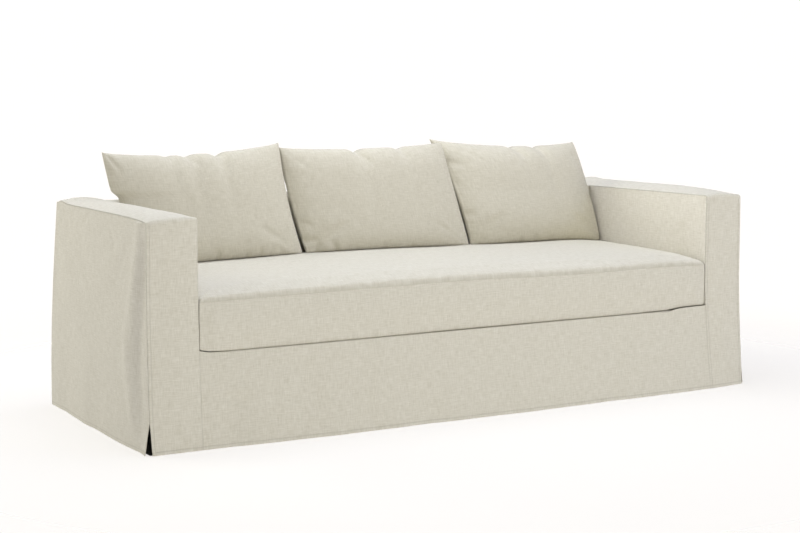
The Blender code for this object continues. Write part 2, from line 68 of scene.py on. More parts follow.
DECK_LOW, DECK_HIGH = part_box("seat_deck")
DECK = (DECK_LOW.z + DECK_HIGH.z) / 2
INNER = DECK_HIGH.x
BACK_IN = DECK_HIGH.y
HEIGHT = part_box("back_inner")[1].z + PULL
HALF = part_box("arm_right_band")[1].x + PULL - SEAM_BOW
ARM = HALF - INNER
BACK = BACK_IN + ARM
FRONT = -BACK
DEPTH = BACK - FRONT

# ---- How the body hangs ----
REST_GAP = 0.0006  # air left under a cushion that lies on something
BEND = 0.008  # radius over which the band turns from an arm's front to its top
BEND_ROWS = 8
CROWN_START = 0.25  # share of the rise of an arm's top that it has at its front end
CROWN_REACH = 0.12  # how far back along the arm the rise is nearly whole
CROWN_END = 0.05  # and it comes down to its rear seam over this distance
FACE_BULGE = 0.003  # swell of an arm's front between its two seams
DROOP_REACH = 0.09  # how far back along an arm the droop of its front corner dies away
CORNER_LIFT = 0.0075  # how far an arm's rear corner lifts its outer top seam
CORNER_REACH = 0.045  # distance of that lift from the rear seam, and its half width
DROOP_ROWS = 0.52  # places above this height follow that droop and lift
SLIT = 0.098  # height of the vent at each front corner
SLIT_CURVE = 0.85  # power by which the side cloth parts from the front one in the vent
SLIT_SPREAD = 0.0145  # how far the side cloth's vent edge swings outwards at the hem
SLIT_TURN = 0.005  # how far the front cloth's vent edge moves inwards there
SLIT_SET_BACK = 0.012  # and how far the side cloth's moves back there
SLIT_REACH = 0.05  # how far back along the side cloth that swing dies away
SHOULDER_TOP = 0.045  # distance behind a front corner where the side cloth has swung out to
SHOULDER_HEM = 0.175  # its full kick, at the top and at the hem
SHOULDER_RISE = 1.3  # fullness of that swing: the tangent curve's factor
SHOULDER_POWER = 1.4  # and its power
BACK_CORNER = (0.030, 0.018)  # swing of a back corner at the hem: sideways, backwards
BACK_TURN = 0.15  # share of the depth over which the side cloth turns to that corner
FRONT_FREE = 0.41  # below this height the front cloths hang free and kick forwards
FRONT_CURVE = 1.5  # power of that kick
INNER_DIP = 0.005  # depth of the soft upright dip in an arm's inner cloth
INNER_DIP_AT = 0.12  # its place, and its half width, as shares of the cloth's length
INNER_DIP_WIDTH = 0.09
BACK_CROWN = 0.013  # rise of the back's top between its seams
SKIRT_UNDER = 0.0022  # how far the skirt's top edge lies below the seat cushion's lower seam
SKIRT_HOLLOW = (0.81, 0.030, 0.004)  # place, half width and depth of a hollow in that edge
SEAM_HOLD = 12  # power by which folds die out beside a cloth's two side seams


def metres(kind, *rows):
    """Records of one kind from rows of millimetres."""
    return [kind(*(number / 1000 for number in row)) for row in rows]


Kick = namedtuple("Kick", "at out")  # how far the hem kicks out at a place along it
FRONT_KICKS = metres(Kick, (-1160, 18), (-991, 20), (-700, 36), (-100, 46), (450, 50), (991, 46),
                     (1160, 30))
BACK_KICKS = metres(Kick, (-1190, 18), (-800, 32), (-250, 40), (300, 35), (800, 36), (1190, 18))
LEFT_KICKS = metres(Kick, (-440, 21), (-340, 25), (-50, 25), (120, 29), (460, 30))
RIGHT_KICKS = metres(Kick, (-440, 22), (-300, 27), (50, 29), (250, 26), (460, 30))

# Soft folds: a line from its upper end to its lower end, its half width, and its height
# outwards (negative for a trough).
Fold = namedtuple("Fold", "at_up z_up at_low z_low width out")
LEFT_FOLDS = metres(Fold, (-90, 700, -160, 600, 20, -3), (50, 300, 80, 0, 70, 5),
                    (260, 340, 300, 0, 60, -5))
RIGHT_FOLDS = metres(Fold, (-160, 340, -140, 0, 60, -6), (100, 300, 120, 0, 70, 5),
                     (300, 260, 320, 0, 50, -4))
SKIRT_FOLDS = metres(Fold, (-870, 200, -900, 40, 35, -6), (-550, 220, -540, 0, 80, 4),
                     (-200, 200, -220, 0, 60, -5), (160, 220, 180, 0, 80, 4),
                     (560, 220, 530, 0, 60, -6), (840, 240, 860, 0, 60, 4))
BACK_FOLDS = metres(Fold, (-850, 420, -880, 0, 80, -6), (-350, 360, -330, 0, 90, 6),
                    (150, 420, 120, 0, 80, -6), (620, 360, 660, 0, 90, 6))

# Creases: soft troughs (negative) and ridges along segments of a flat cut, across and down from
# its first corner, or up from the lower left corner of a back cushion's face.
Crease = namedtuple("Crease", "across down to_across to_down width height")
LEFT_CREASES = metres(
    Crease,
    (26, -100, 145, 500, 34, 7.2),
    (150, 340, 92, 660, 30, 5.0),
    (12, 60, 60, 500, 28, -7.8),
    (62, 340, 45, 660, 22, -4.2),
    (505, 12, 590, 65, 10, -1.6),
    (480, 10, 560, 85, 14, 1.2),
    (120, 30, 400, 250, 35, 2.4),
    (140, 140, 460, 380, 45, -2.4),
    (180, 330, 540, 480, 50, 2.6),
    (620, 80, 420, 300, 45, -2.2),
    (780, 150, 560, 420, 50, 2.4),
    (110, 540, 115, 640, 16, 2.2),
    (300, 560, 330, 690, 40, 2.0))
RIGHT_CREASES = metres(
    Crease,
    (120, 20, 340, 240, 30, 1.8),
    (560, 20, 380, 260, 35, -1.8),
    (180, 300, 480, 470, 50, 1.6),
    (720, 100, 600, 420, 45, 1.8))
BAND_CREASES = metres(
    Crease,
    (136, 150, 138, 330, 5, -0.7),
    (128, 300, 131, 480, 6, 0.7),
    (20, 260, 24, 420, 6, 0.6),
    (60, 380, 110, 470, 16, 1.2),
    (50, 120, 60, 300, 22, -1.0),
    (100, 560, 60, 660, 18, 1.0),
    (20, 800, 140, 860, 10, -0.8),
    (15, 930, 120, 965, 9, 0.8),
    (140, 1080, 40, 1130, 10, -0.8))
INNER_CREASES = metres(
    Crease,
    (40, 30, 240, 160, 22, 1.4),
    (300, 20, 200, 200, 30, -1.4),
    (120, 60, 124, 300, 20, -1.2),
    (11, 6, 12, 330, 10, -3.2))
SKIRT_CREASES = metres(
    Crease,
    (85, 140, 160, 165, 14, -3.4),
    (110, 115, 210, 130, 16, 2.2),
    (75, 20, 90, 90, 12, 1.2),
    (25, 230, 120, 262, 12, 1.0),
    (330, 50, 420, 250, 30, -2.4),
    (640, 20, 610, 240, 35, 2.2),
    (980, 50, 1010, 270, 35, -1.6),
    (1240, 30, 1200, 260, 30, 1.8),
    (1520, 20, 1600, 230, 35, -1.8),
    (1760, 20, 1700, 180, 30, 1.8),
    (1900, 20, 1860, 120, 18, 1.4))
BACK_CREASES = metres(
    Crease,
    (200, 20, 520, 360, 40, 2.0),
    (1000, 20, 780, 420, 45, -2.0),
    (1500, 20, 1720, 380, 45, 2.0),
    (2150, 20, 1960, 400, 40, -2.0))

# ---- Seat cushion ----
SEAT_SIDE = 0.9865  # half its width along its seams
SEAT_END_BULGE = 0.0012  # swell of its two ends between their seams
SEAT_END = 0.03  # width beside the arms over which the wall becomes an end
SEAT_FRONT = FRONT - 0.001
SEAT_BACK = BACK_IN - 0.006
SEAT_MIDDLE = (SEAT_FRONT + SEAT_BACK) / 2
SEAT_HALF = (SEAT_BACK - SEAT_FRONT) / 2
SEAT_CORNER = 0.002  # radius of its upright corners
SEAT_CROWN = 0.050  # rise of its top above the seam
SEAT_ROUND = 0.017  # the top bulges up from the front seam in a quarter round this deep, for
SEAT_ROUND_SHARE = 0.60  # this share of its rise; the rest comes over SEAT_SHOULDER
SEAT_SHOULDER = 0.060
SEAT_FORE = 0.80  # share of the crown behind that shoulder; the rest comes by SEAT_FULL
SEAT_FULL = 0.55
SEAT_REAR_TURN = 0.012  # distance over which the top rises from the rear seam
SEAT_SIDE_TURN = 0.006  # and from the side seams, for SEAT_SIDE_SHARE of the crown
SEAT_SIDE_SHARE = 0.72
SEAT_SIDE_SOFT = 0.18  # the rest of it rises over this distance
BOXING_BULGE = 0.008  # swell of the band between its top and bottom seams
BOXING_FADE = 0.10  # this far behind the front seam that swell has died away
SEAT_FLUSH = 0.05  # and beside the arms nine tenths of it die away over this width
SEAT_EDGE = 0.035  # width along its sides and rear where its top curves down to the seam
SEAT_BOTTOM = DECK + CLOTH / 2 + SEAM_GAP
SEAT_UNDER = ((0.004, 0.0), (0.012, 0.5), (0.030, 1.0))  # its rings under the lower edge: how
# far inside it, and the share of the drop from the lower seam to the deck
NIP = 0.0012  # how far a seam draws the cushion in, and how far beside the seam
NIP_WIDTH = 0.0018
Edge = namedtuple("Edge", "x z")
TOP_SEAM = metres(Edge, (-990, 449), (-640, 453), (-60, 458), (440, 451), (840, 455), (990, 450))
LOW_SEAM = metres(Edge, (-990, 303), (-950, 296), (-860, 293.8), (-500, 293.6), (0, 294.8),
                  (600, 294.2), (800, 296), (880, 302), (990, 304))

# ---- Back cushions ----
# The lower corners stand on the seat cushion at CUSHION_FOOT.  bow_left and bow_right are
# how far the side seams are drawn in halfway up, lean the power by which the left seam leans
# back late, sag the drop of the top seam between its corners, and each dip in it is (share of
# the width, depth).
BackCushion = namedtuple("BackCushion", "name low_left low_right top_left top_right "
                         "bow_left bow_right lean sag dips creases")
BACK_CUSHIONS = (
    BackCushion("back_cushion_left", -0.982, -0.335, (-1.026, 0.320, 0.874), (-0.368, 0.320, 0.895),
                0.0, 0.014, 1.0, 0.024, ((0.345, 0.006), (0.45, 0.010), (0.625, 0.014)), metres(
                    Crease,
                    (291, 450, 325, 390, 11, -3.2),
                    (404, 450, 388, 402, 10, -2.6),
                    (345, 445, 356, 395, 18, 2.0),
                    (223, 450, 226, 410, 9, -2.8),
                    (12, 435, 45, 365, 7, -4.5),
                    (300, 0, 312, 50, 10, -6.6),
                    (420, 0, 418, 38, 9, -6.2),
                    (466, 0, 476, 44, 9, -6.6),
                    (560, 0, 545, 45, 10, -3.5))),
    BackCushion("back_cushion_middle", -0.320, 0.367, (-0.364, 0.320, 0.878), (0.314, 0.318, 0.885),
                -0.013, 0.002, 1.0, 0.014, ((0.44, 0.015), (0.711, 0.009)), metres(
                    Crease,
                    (301, 450, 335, 375, 9, -4.5),
                    (486, 450, 500, 390, 10, -3.4),
                    (395, 448, 405, 370, 20, 2.5),
                    (0, 45, 55, 62, 12, -6.5),
                    (30, 0, 50, 45, 10, -7.0),
                    (75, 0, 72, 55, 11, 3.0),
                    (110, 0, 98, 50, 10, -4.5),
                    (10, 130, 45, 105, 14, -4.0),
                    (188, 0, 180, 35, 9, -4.0),
                    (292, 0, 300, 40, 9, -4.0),
                    (421, 0, 415, 30, 9, -4.0))),
    BackCushion("back_cushion_right", 0.373, 0.985, (0.309, 0.392, 0.896), (0.936, 0.320, 0.877),
                0.0, -0.008, 1.7, 0.022, ((0.524, 0.011), (0.70, 0.012)), metres(
                    Crease,
                    (321, 450, 345, 380, 10, -3.8),
                    (429, 450, 440, 385, 10, -3.4),
                    (0, 352, 60, 345, 18, -7.5),
                    (0, 130, 40, 135, 16, -4.0),
                    (30, 0, 52, 40, 12, -5.5),
                    (207, 0, 200, 38, 9, -4.5),
                    (276, 0, 262, 50, 10, -5.0),
                    (339, 0, 345, 35, 9, -4.5),
                    (560, 400, 585, 330, 12, -3.0))))
CUSHION_FOOT = 0.196  # y of the seam that the back cushions stand on
CUSHION_TALL = 0.450  # height of a back cushion's flat cut
DIP_WIDTH = 0.036  # half width of a dip, as a share of the cushion's width
FRONT_PUFF = 0.072  # swell of the face in front of the seams
REAR_PUFF = 0.055  # swell behind the seams, before the back flattens it
PUFF_POWER = 0.42  # fullness across a back cushion: 0.5 is a half ellipse, lower is fuller
PUFF_FLAT = 6  # up it the face is flat by this power, and rounds off to its top and bottom
PUFF_ROUND = 0.4  # seams by this one
TOP_FULLNESS = 0.07  # share by which it is fuller at its top than at its foot
LEAN_FILLED = 0.85  # share of a far-leaning corner's depth that its face makes up for
FOOT_PRESS = 0.28  # the swell is pressed down onto the seat at a back cushion's foot, and
FOOT_PRESS_POWER = 8  # by this power less higher up
FRONT_WAY = (0.0, -0.98, 0.08)  # direction of the swell of the face, and of the rear
REAR_WAY = (0.0, 1.0, 0.0)
SAG_CURVE = 0.7  # power of the top seam's sag; lower is flatter between its corners
LEAN_CLEAR = 0.003  # air between a back cushion and the back it leans on
LEAN_SLOPE = 1.4  # how far back a cushion may lie for each metre that it is above the back
LEAN_FREE = 0.040  # above the back's top seam by this much, a cushion is free of it
ARM_CLEAR = 0.004  # air between a back cushion's side seam and an arm
TUCK_SHARE = 0.590  # share of a back cushion's height that stays between the arms
TUCK_FADE = 0.080  # further share over which it spreads out above them
SOFT_HEIGHT = 0.0018  # height of the bumps of a back cushion's face
GATHER_HEIGHT = 0.0030  # and of the gathers beside its seams, and their width
GATHER_SIZE = 0.026

# ---- Filling ----
PRESSURE = 4.0  # of the filling, in the simulation's own unit
FRAMES = 20  # steps of the simulation
EXTRA_CLOTH = 0.009  # share by which a cushion's panels are cut larger than its seams
BACK_SWELL = 0.004  # most that the filling pushes a back cushion's face
SEAT_SWELL = 0.005  # and the seat cushion's top, which it pushes nowhere behind a line this far
SWELL_CLEAR = 0.03  # in front of the back cushions' foot, and less over a strip before it
SWELL_FADE = 0.10

# ---- Sewing ----
ROLL_REACH = 0.0026  # a sewn edge turns in over its last millimetres
ALLOWANCE = 0.0006  # the seam allowance lifts the cloth this much as far as its stitches
ALLOWANCE_FADE = 0.0024
GROOVE = 0.00045  # depth of the groove that a line of stitches pulls
GROOVE_WIDTH = 0.0013
PUCKER = 0.0006  # height of the small waves that a seam gathers beside it
PUCKER_REACH = 0.022
PUCKER_SIZE = 0.024
NO_LINE = 0.05  # what stands for the distance of a stitch line that isn't there
EDGE_PLACES = (0.0, 0.0008, 0.0017, 0.0028, 0.0044, 0.0064, 0.0080, 0.0090, 0.0098, 0.0106,
               0.0118, 0.0136, 0.0165)

# How an edge is finished: how far it turns in, how far beside it the stitches run, and how far
# along it they go.
Worked = namedtuple("Worked", "roll stitch until")
CUT = None  # hidden, or carried on by a bend
PLAIN = Worked(0.0002, None, None)
STITCHED = Worked(0.0002, 0.0095, np.inf)
STITCHED_UP = Worked(0.0002, 0.0095, HEIGHT - 2 * BEND)  # along a band, up the arm's front only
HEMMED = Worked(0.0004, 0.0100, np.inf)
Edges = namedtuple("Edges", "near far top low")  # near and far are the ends of each row

# Arms: side is -1 or 1, crown the rise of the top between its seams in front and at the rear,
# droop the drop of its outer seam at the front corner, beside_seat the finish of the band's
# inner edge and seed that of its weave.
Arm = namedtuple("Arm", "name side crown droop kicks folds creases beside_seat seed")
ARMS = (Arm("arm_left", -1, (0.019, 0.012), 0.008, LEFT_KICKS, LEFT_FOLDS, LEFT_CREASES, PLAIN, 2),
        Arm("arm_right", 1, (0.023, 0.023), 0.003, RIGHT_KICKS, RIGHT_FOLDS, RIGHT_CREASES,
            STITCHED_UP, 7))

# ---- Linen ----
SLUB_WIDTH = 2.2  # the thick yarns are so many times as wide, and as long, as the others
SLUB_RUN = 1.7
FLECK_SIZE = 0.004  # size of the flecks of warmer and cooler colour


# ---- Small mathematics ----
def look():
    """The cover's settings."""
    return bpy.context.scene.slipcover_look


def ease(share):
    """0 below 0, 1 above 1, and a smooth S between."""
    share = np.clip(share, 0, 1)
    return share * share * (3 - 2 * share)


def arch(share):
    """A parabola, 0 at shares 0 and 1 and 1 halfway."""
    return 4 * share * (1 - share)


def points_of(x, y, z):
    """Points, or places with three numbers, from single numbers, rows, columns and grids."""
    return np.stack(np.broadcast_arrays(x, y, z), axis=-1)


def strung(*grids):
    """The points of several grids as one list."""
    return np.concatenate([grid.reshape(-1, 3) for grid in grids])


def through(rows, place):
    """Smooth curve through the table's rows (place, value) that never swings past them: cubic
    pieces whose slope at a row is the harmonic mean of the slopes on its two sides, or none
    where the curve turns."""
    at, value = np.array(rows).T
    rise = np.diff(value) / np.diff(at)
    before = np.concatenate([rise[:1], rise])
    after = np.concatenate([rise, rise[-1:]])
    turns = before * after <= 0
    slope = np.where(turns, 0.0, 2 * before * after / np.where(turns, 1.0, before + after))
    place = np.clip(place, at[0], at[-1])
    left = np.clip(np.searchsorted(at, place, side="right") - 1, 0, len(at) - 2)
    step = at[left + 1] - at[left]
    t = (place - at[left]) / step
    return (value[left] * (1 + 2 * t) * (1 - t) ** 2 + slope[left] * step * t * (1 - t) ** 2
            + value[left + 1] * t * t * (3 - 2 * t) + slope[left + 1] * step * t * t * (t - 1))


def uneven(across, along, size, seed):
    """Smooth relief between -1 and 1 whose bumps are about size wide: seeded random values
    on a square lattice, blended with smooth steps."""
    table = np.random.default_rng(seed).uniform(-1, 1, (256, 256))
    a, b = np.broadcast_arrays(across / size + 100, along / size + 100)
    column = np.floor(a).astype(int)
    row = np.floor(b).astype(int)
    s = ease(a - column)
    t = ease(b - row)
    column, right = column % 256, (column + 1) % 256
    row, below = row % 256, (row + 1) % 256
    return ((table[row, column] * (1 - s) + table[row, right] * s) * (1 - t)
            + (table[below, column] * (1 - s) + table[below, right] * s) * t)


def creased(creases, across, down):
    """Sum of the creases' relief: a bell across each segment, which rises over its first third
    and fades out over its second half."""
    total = np.zeros(across.shape)
    for crease in creases:
        run_a = crease.to_across - crease.across
        run_d = crease.to_down - crease.down
        reach = np.hypot(run_a, run_d)
        along = ((across - crease.across) * run_a + (down - crease.down) * run_d) / reach ** 2
        aside = ((across - crease.across) * run_d - (down - crease.down) * run_a) / reach
        fade = ease((along + 0.2) / 0.35) * ease((1.15 - along) / 0.65)
        total += crease.height * fade * np.exp(-(aside / crease.width) ** 2)
    return total


def folded(folds, at, z):
    """Sum of the folds' bell-shaped ridges and troughs, each fading in from its upper end."""
    total = np.zeros(np.broadcast(at, z).shape)
    for fold in folds:
        run = (fold.z_up - z) / (fold.z_up - fold.z_low)
        middle = fold.at_up + (fold.at_low - fold.at_up) * np.clip(run, 0, 1)
        bell = np.exp(-((at - middle) / fold.width) ** 2)
        total += fold.out * ease(run) * ease(3 - 2 * run) * bell
    return total


def held(share):
    """1 over most of a cloth and 0 at its two side seams, for shares from -1 to 1."""
    return 1 - np.abs(share) ** SEAM_HOLD


def hang(z):
    """Share of the hem's kick that a side cloth has at height z: a quarter sine wave."""
    return np.sin(np.pi / 2 * np.clip(1 - z / HEIGHT, 0, 1))


def vent(z):
    """Share of its opening at the hem that a front corner's vent has at height z."""
    return np.clip(1 - z / SLIT, 0, 1) ** SLIT_CURVE


def front_y(x, z):
    """Face of the front cloths, the arms' fronts and the skirt between them: the hem's kick
    times a power of the depth below FRONT_FREE."""
    return FRONT - through(FRONT_KICKS, x) * np.clip(1 - z / FRONT_FREE, 0, 1) ** FRONT_CURVE


def outer_seam_z(arm, y):
    """Height of an arm's outer top seam: it droops towards its front end by an exponential
    curve, and the stuffed rear corner lifts it by a bell."""
    lift = CORNER_LIFT * np.exp(-((BACK - CORNER_REACH - y) / CORNER_REACH) ** 2)
    droop = arm.droop * np.exp(-(y - FRONT) / DROOP_REACH)
    return HEIGHT - droop + lift * ease((BACK - y) / CORNER_REACH)


# ---- Materials ----
def acting(operation, turned=False):
    """A method that puts an operation on two terms of an expression, turned round or not."""
    def act(self, other):
        return self.math(operation, *((other, self) if turned else (self, other)))
    return act


class Socket:
    """A socket of a material's node tree.  An expression on sockets and numbers adds its Math
    nodes to the tree."""

    def __init__(self, tree, link):
        self.tree = tree
        self.link = link

    def math(self, operation, *terms):
        node = self.tree.nodes.new("ShaderNodeMath")
        node.operation = operation
        for slot, term in zip(node.inputs, terms):
            if isinstance(term, Socket):
                self.tree.links.new(term.link, slot)
            else:
                slot.default_value = term
        return Socket(self.tree, node.outputs[0])

    __add__, __radd__ = acting("ADD"), acting("ADD", True)
    __sub__, __rsub__ = acting("SUBTRACT"), acting("SUBTRACT", True)
    __mul__, __rmul__ = acting("MULTIPLY"), acting("MULTIPLY", True)
    __truediv__ = acting("DIVIDE")
    most = acting("MAXIMUM")
    least = acting("MINIMUM")

    def __abs__(self):
        return self.math("ABSOLUTE", self)

    def sine(self):
        return self.math("SINE", self)

    def clipped(self):
        return self.most(0.0).least(1.0)


class Finish:
    """A node tree and the few ways in which its nodes are made."""

    def __init__(self, owner):
        self.owner = owner
        owner.use_nodes = True
        self.tree = owner.node_tree

    def feed(self, node, values):
        """Puts the value or link of each socket of a node, or of the first node of that name."""
        node = self.tree.nodes[node] if isinstance(node, str) else node
        for key, value in values.items():
            if isinstance(value, Socket):
                self.tree.links.new(value.link, node.inputs[key])
            else:
                node.inputs[key].default_value = value

    def node(self, kind, settings, values, output=0):
        """A node of that kind: its settings first, then the value or link of each socket.  It
        gives the output of that name or number."""
        node = self.tree.nodes.new(kind)
        for key, value in settings.items():
            setattr(node, key, value)
        self.feed(node, values)
        return Socket(self.tree, node.outputs[output])

    def parts(self, vector):
        """The three numbers of a vector, as sockets."""
        split = self.node("ShaderNodeSeparateXYZ", {}, {0: vector}).link.node
        return [Socket(self.tree, out) for out in split.outputs]

    def attribute(self, name):
        """The three numbers of a point attribute."""
        return self.parts(self.node("ShaderNodeAttribute", {"attribute_name": name}, {}, "Vector"))

    def noise(self, x, y, seed, detail):
        """Noise from 0 to 1 over the two places x and y, one bump for each unit of them."""
        place = self.node("ShaderNodeCombineXYZ", {}, {0: x, 1: y, 2: float(seed)})
        return self.node("ShaderNodeTexNoise", {"noise_dimensions": "3D"},
                         {"Vector": place, "Scale": 1.0, "Detail": detail, "Roughness": 0.55})

    def mix(self, share, first, second):
        """Colour between two colours or colour sockets."""
        return self.node("ShaderNodeMix", {"data_type": "RGBA"}, {0: share, 6: first, 7: second}, 2)


def tint(colour, factors=1.0):
    """A colour times one factor or three, at most white, with a fourth number for its alpha."""
    return (*np.minimum(np.array(colour) * factors, 1.0), 1.0)


def linen(node, setting, seed):
    """Plain-woven linen in the colour of that setting.  Its threads run along the two places of
    the attribute weave.  Streaks of noise drawn out along each thread direction are its uneven
    yarns; stitch holds the distances from the side stitch line, the level one and the seam."""
    colour = getattr(look(), setting)
    yarn, yarn_run = look().yarn_width, look().yarn_run
    cloud_size = look().cloud_size
    cloth = Finish(bpy.data.materials.new(node + "_linen"))
    x, y, _ = cloth.attribute("weave")
    side, level, seam = cloth.attribute("stitch")

    def streaks(width, run, warp_seed, weft_seed, detail):
        """Uneven yarns in both directions, about 0 on average."""
        warp = cloth.noise(x / width, y / run, warp_seed, detail)
        return warp + cloth.noise(x / run, y / width, weft_seed, detail) - 1.0

    def line(distance, half, soft):
        """1 within half of the line, fading out over soft."""
        return ((half + soft - abs(distance)) / soft).clipped()

    def stitches(run, distance):
        """Dashes of thread along the run."""
        dash = ((run * (2 * np.pi / look().stitch_length)).sine() * 2.2 + 1.2).clipped()
        return line(distance, 0.0003, 0.0003) * dash

    turn_x = (x * (np.pi / look().thread_pitch)).sine()
    turn_y = (y * (np.pi / look().thread_pitch)).sine()
    over = turn_x * turn_y * 0.5 + 0.5
    threads = (abs(turn_x) * over).most(abs(turn_y) * (1.0 - over))
    slubs = streaks(SLUB_WIDTH * yarn, SLUB_RUN * yarn_run, seed + 23, seed + 31, 1.0)
    heather = streaks(yarn, yarn_run, seed, seed + 11, 2.0) * look().heather + slubs * look().slubs
    cloud = cloth.noise(x / cloud_size, y / cloud_size, seed + 47, 3.0)
    flecks = cloth.noise(x / FLECK_SIZE, y / FLECK_SIZE, seed + 53, 1.0)
    shade = heather + (cloud - 0.5) * look().clouds + (threads - 0.5) * 0.12 + 0.5
    dark, light = tint(colour, (0.80, 0.785, 0.74)), tint(colour, (1.17, 1.18, 1.21))
    woven = cloth.mix(shade.clipped(), dark, light)
    cool, warm = tint(colour, (0.955, 0.985, 0.95)), tint(colour, (1.04, 0.985, 0.95))
    woven = cloth.mix(0.30, woven, cloth.mix(flecks.clipped(), cool, warm))

    # Painted shade: in the stitch grooves and beside the seams the cloth is mixed towards a darker copy
    # of its colour, as the shade that falls in these creases.
    groove = line(side, 0.0007, 0.0016).most(line(level, 0.0007, 0.0016))
    thread = stitches(y, side).most(stitches(x, level))
    shadow = (groove * 1.3).most(line(seam, 0.0006, 0.0022) * 0.70)
    woven = cloth.mix(shadow * look().seam_shade, woven, tint(colour, 0.52))
    woven = cloth.mix(thread * 0.85, woven, tint(look().thread_colour))
    relief = threads * 0.00016 + heather * 0.00022 - groove * 0.00025 + thread * 0.0005
    bump = cloth.node("ShaderNodeBump", {}, {"Strength": 0.8, "Distance": 1.0, "Height": relief})
    cloth.feed("Principled BSDF", {
        "Base Color": woven, "Roughness": 0.93 - threads * 0.08 - thread * 0.25, "Normal": bump,
        "Specular IOR Level": 0.28, "Sheen Weight": look().sheen, "Sheen Roughness": 0.45,
        "Sheen Tint": (1.0, 0.99, 0.96, 1.0)})
    cloth.owner.diffuse_color = tint(colour)
    return cloth.owner


# ---- Making one cloth ----
def places(length, step, first, last):
    """Places from 0 to length: about a step apart, and closer together beside a worked edge."""
    near = np.array(EDGE_PLACES)
    start = near if first else near[:1]
    end = length - near[::-1] if last else np.array([length])
    count = max(1, int(round((end[0] - start[-1]) / step)))
    between = np.linspace(start[-1], end[0], count + 1)[1:-1]
    return np.concatenate([start, between, end])


def flat_cut(width, length, coarse, edges):
    """Places across and along a flat cut, coarse times the fine step apart."""
    step = look().fine_step * coarse
    return places(width, step, edges.near, edges.far), places(length, step, edges.top, edges.low)


def worked(edge, distance, run, seed):
    """Relief beside a worked edge: it turns in over its last millimetres, the allowance under
    it lifts it as far as its stitches, which pull a groove, and small waves stand beside it."""
    relief = -edge.roll * np.clip(1 - distance / ROLL_REACH, 0, 1) ** 2
    if edge.stitch:
        lift = ALLOWANCE * (1 - ease((distance - edge.stitch) / ALLOWANCE_FADE))
        groove = GROOVE * np.exp(-((distance - edge.stitch) / GROOVE_WIDTH) ** 2)
        relief = relief + (lift - groove) * (1 - ease((run - edge.until) / BEND))
    waves = uneven(run, 0 * run, PUCKER_SIZE, seed) * ease(distance / 0.004)
    return relief + PUCKER * waves * np.exp(-distance / PUCKER_REACH)


def softness(across, along, creases, seed, calm=0.03):
    """The relief of loose linen: its creases, broad bumps and small ones, calm beside the two
    side edges and the first one."""
    x, y = np.meshgrid(across, along)
    size = look().loose_size
    broad = uneven(x, y * 0.7, size, seed)
    middling = uneven(x, y * 0.8, size * 0.42, seed + 1)
    small = uneven(x, y, size * 0.16, seed + 2)
    edge = np.minimum(np.minimum(x, across[-1] - x), y)
    bumps = look().looseness * (broad + 0.4 * middling + 0.10 * small) * ease(edge / calm)
    return bumps + creased(creases, x, y) * ease(edge / 0.006)


def outward_normals(points, outward):
    """Unit normals of a grid of points, on the side that outward points to."""
    normal = np.cross(np.gradient(points, axis=0), np.gradient(points, axis=1))
    normal /= np.maximum(np.linalg.norm(normal, axis=-1, keepdims=True), 1e-12)
    return normal * np.sign((normal * np.array(outward)).sum(axis=-1).mean())


def grid_faces(rows, columns):
    """Quads of a grid of points numbered row by row."""
    corner = np.arange((rows - 1) * columns).reshape(rows - 1, columns)[:, :-1].ravel()
    return np.stack([corner, corner + 1, corner + columns + 1, corner + columns], axis=1)


def add_piece(node, kind, points, faces, weave, stitch, setting, seed):
    """A smooth-shaded mesh that replaces a node.  Its points carry the places that its linen
    reads."""
    mesh = bpy.data.meshes.new(node + kind)
    mesh.from_pydata(points.tolist(), [], faces)
    mesh.validate()
    mesh.shade_smooth()
    for label, values in (("weave", weave), ("stitch", stitch)):
        layer = mesh.attributes.new(label, "FLOAT_VECTOR", "POINT")
        layer.data.foreach_set("vector", values.astype(np.float32).ravel())
    mesh.materials.append(linen(node, setting, seed))
    piece = bpy.data.objects.new(node + kind, mesh)
    bpy.context.scene.collection.objects.link(piece)
    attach(piece, "root")
    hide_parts(node)
    return piece


def lay_cloth(node, middle, across, along, edges, outward, relief, seeds,
              setting="linen_colour"):
    """A sheet from its middle surface, a grid of rows (places along) by columns (places across).
    relief is added along the normal, with the work of the four edges.  seeds are those of the
    edges and of the weave."""
    width, length = across[-1], along[-1]
    near, down = np.meshgrid(across, along)
    total = relief
    lines = {kind: np.full(near.shape, NO_LINE) for kind in ("side", "level")}
    # Distance to the nearest sewn seam, hems apart; the linen paints shade beside it.
    seam = np.full(near.shape, NO_LINE)
    distances = (near, width - near, down, length - down)
    for number, (edge, distance) in enumerate(zip(edges, distances)):
        if edge is None:
            continue
        kind, run = ("side", down) if number < 2 else ("level", near)
        total = total + worked(edge, distance, run, 10 * seeds[0] + number)
        if edge is not HEMMED:
            seam = np.minimum(seam, distance)
        if edge.stitch:
            offset = np.where(run < edge.until + BEND / 2, distance - edge.stitch, NO_LINE)
            closer = np.abs(offset) < np.abs(lines[kind])
            lines[kind] = np.where(closer, offset, lines[kind])
    points = middle + outward_normals(middle, outward) * total[:, :, None]
    piece = add_piece(node, "_cloth", strung(points), grid_faces(*near.shape).tolist(),
                      points_of(near + 3.1 * seeds[0], down + 1.7 * seeds[0], 0.0),
                      points_of(lines["side"], lines["level"], seam), setting, seeds[1])
    wall = piece.modifiers.new("thickness", "SOLIDIFY")
    wall.thickness = CLOTH
    wall.offset = 0


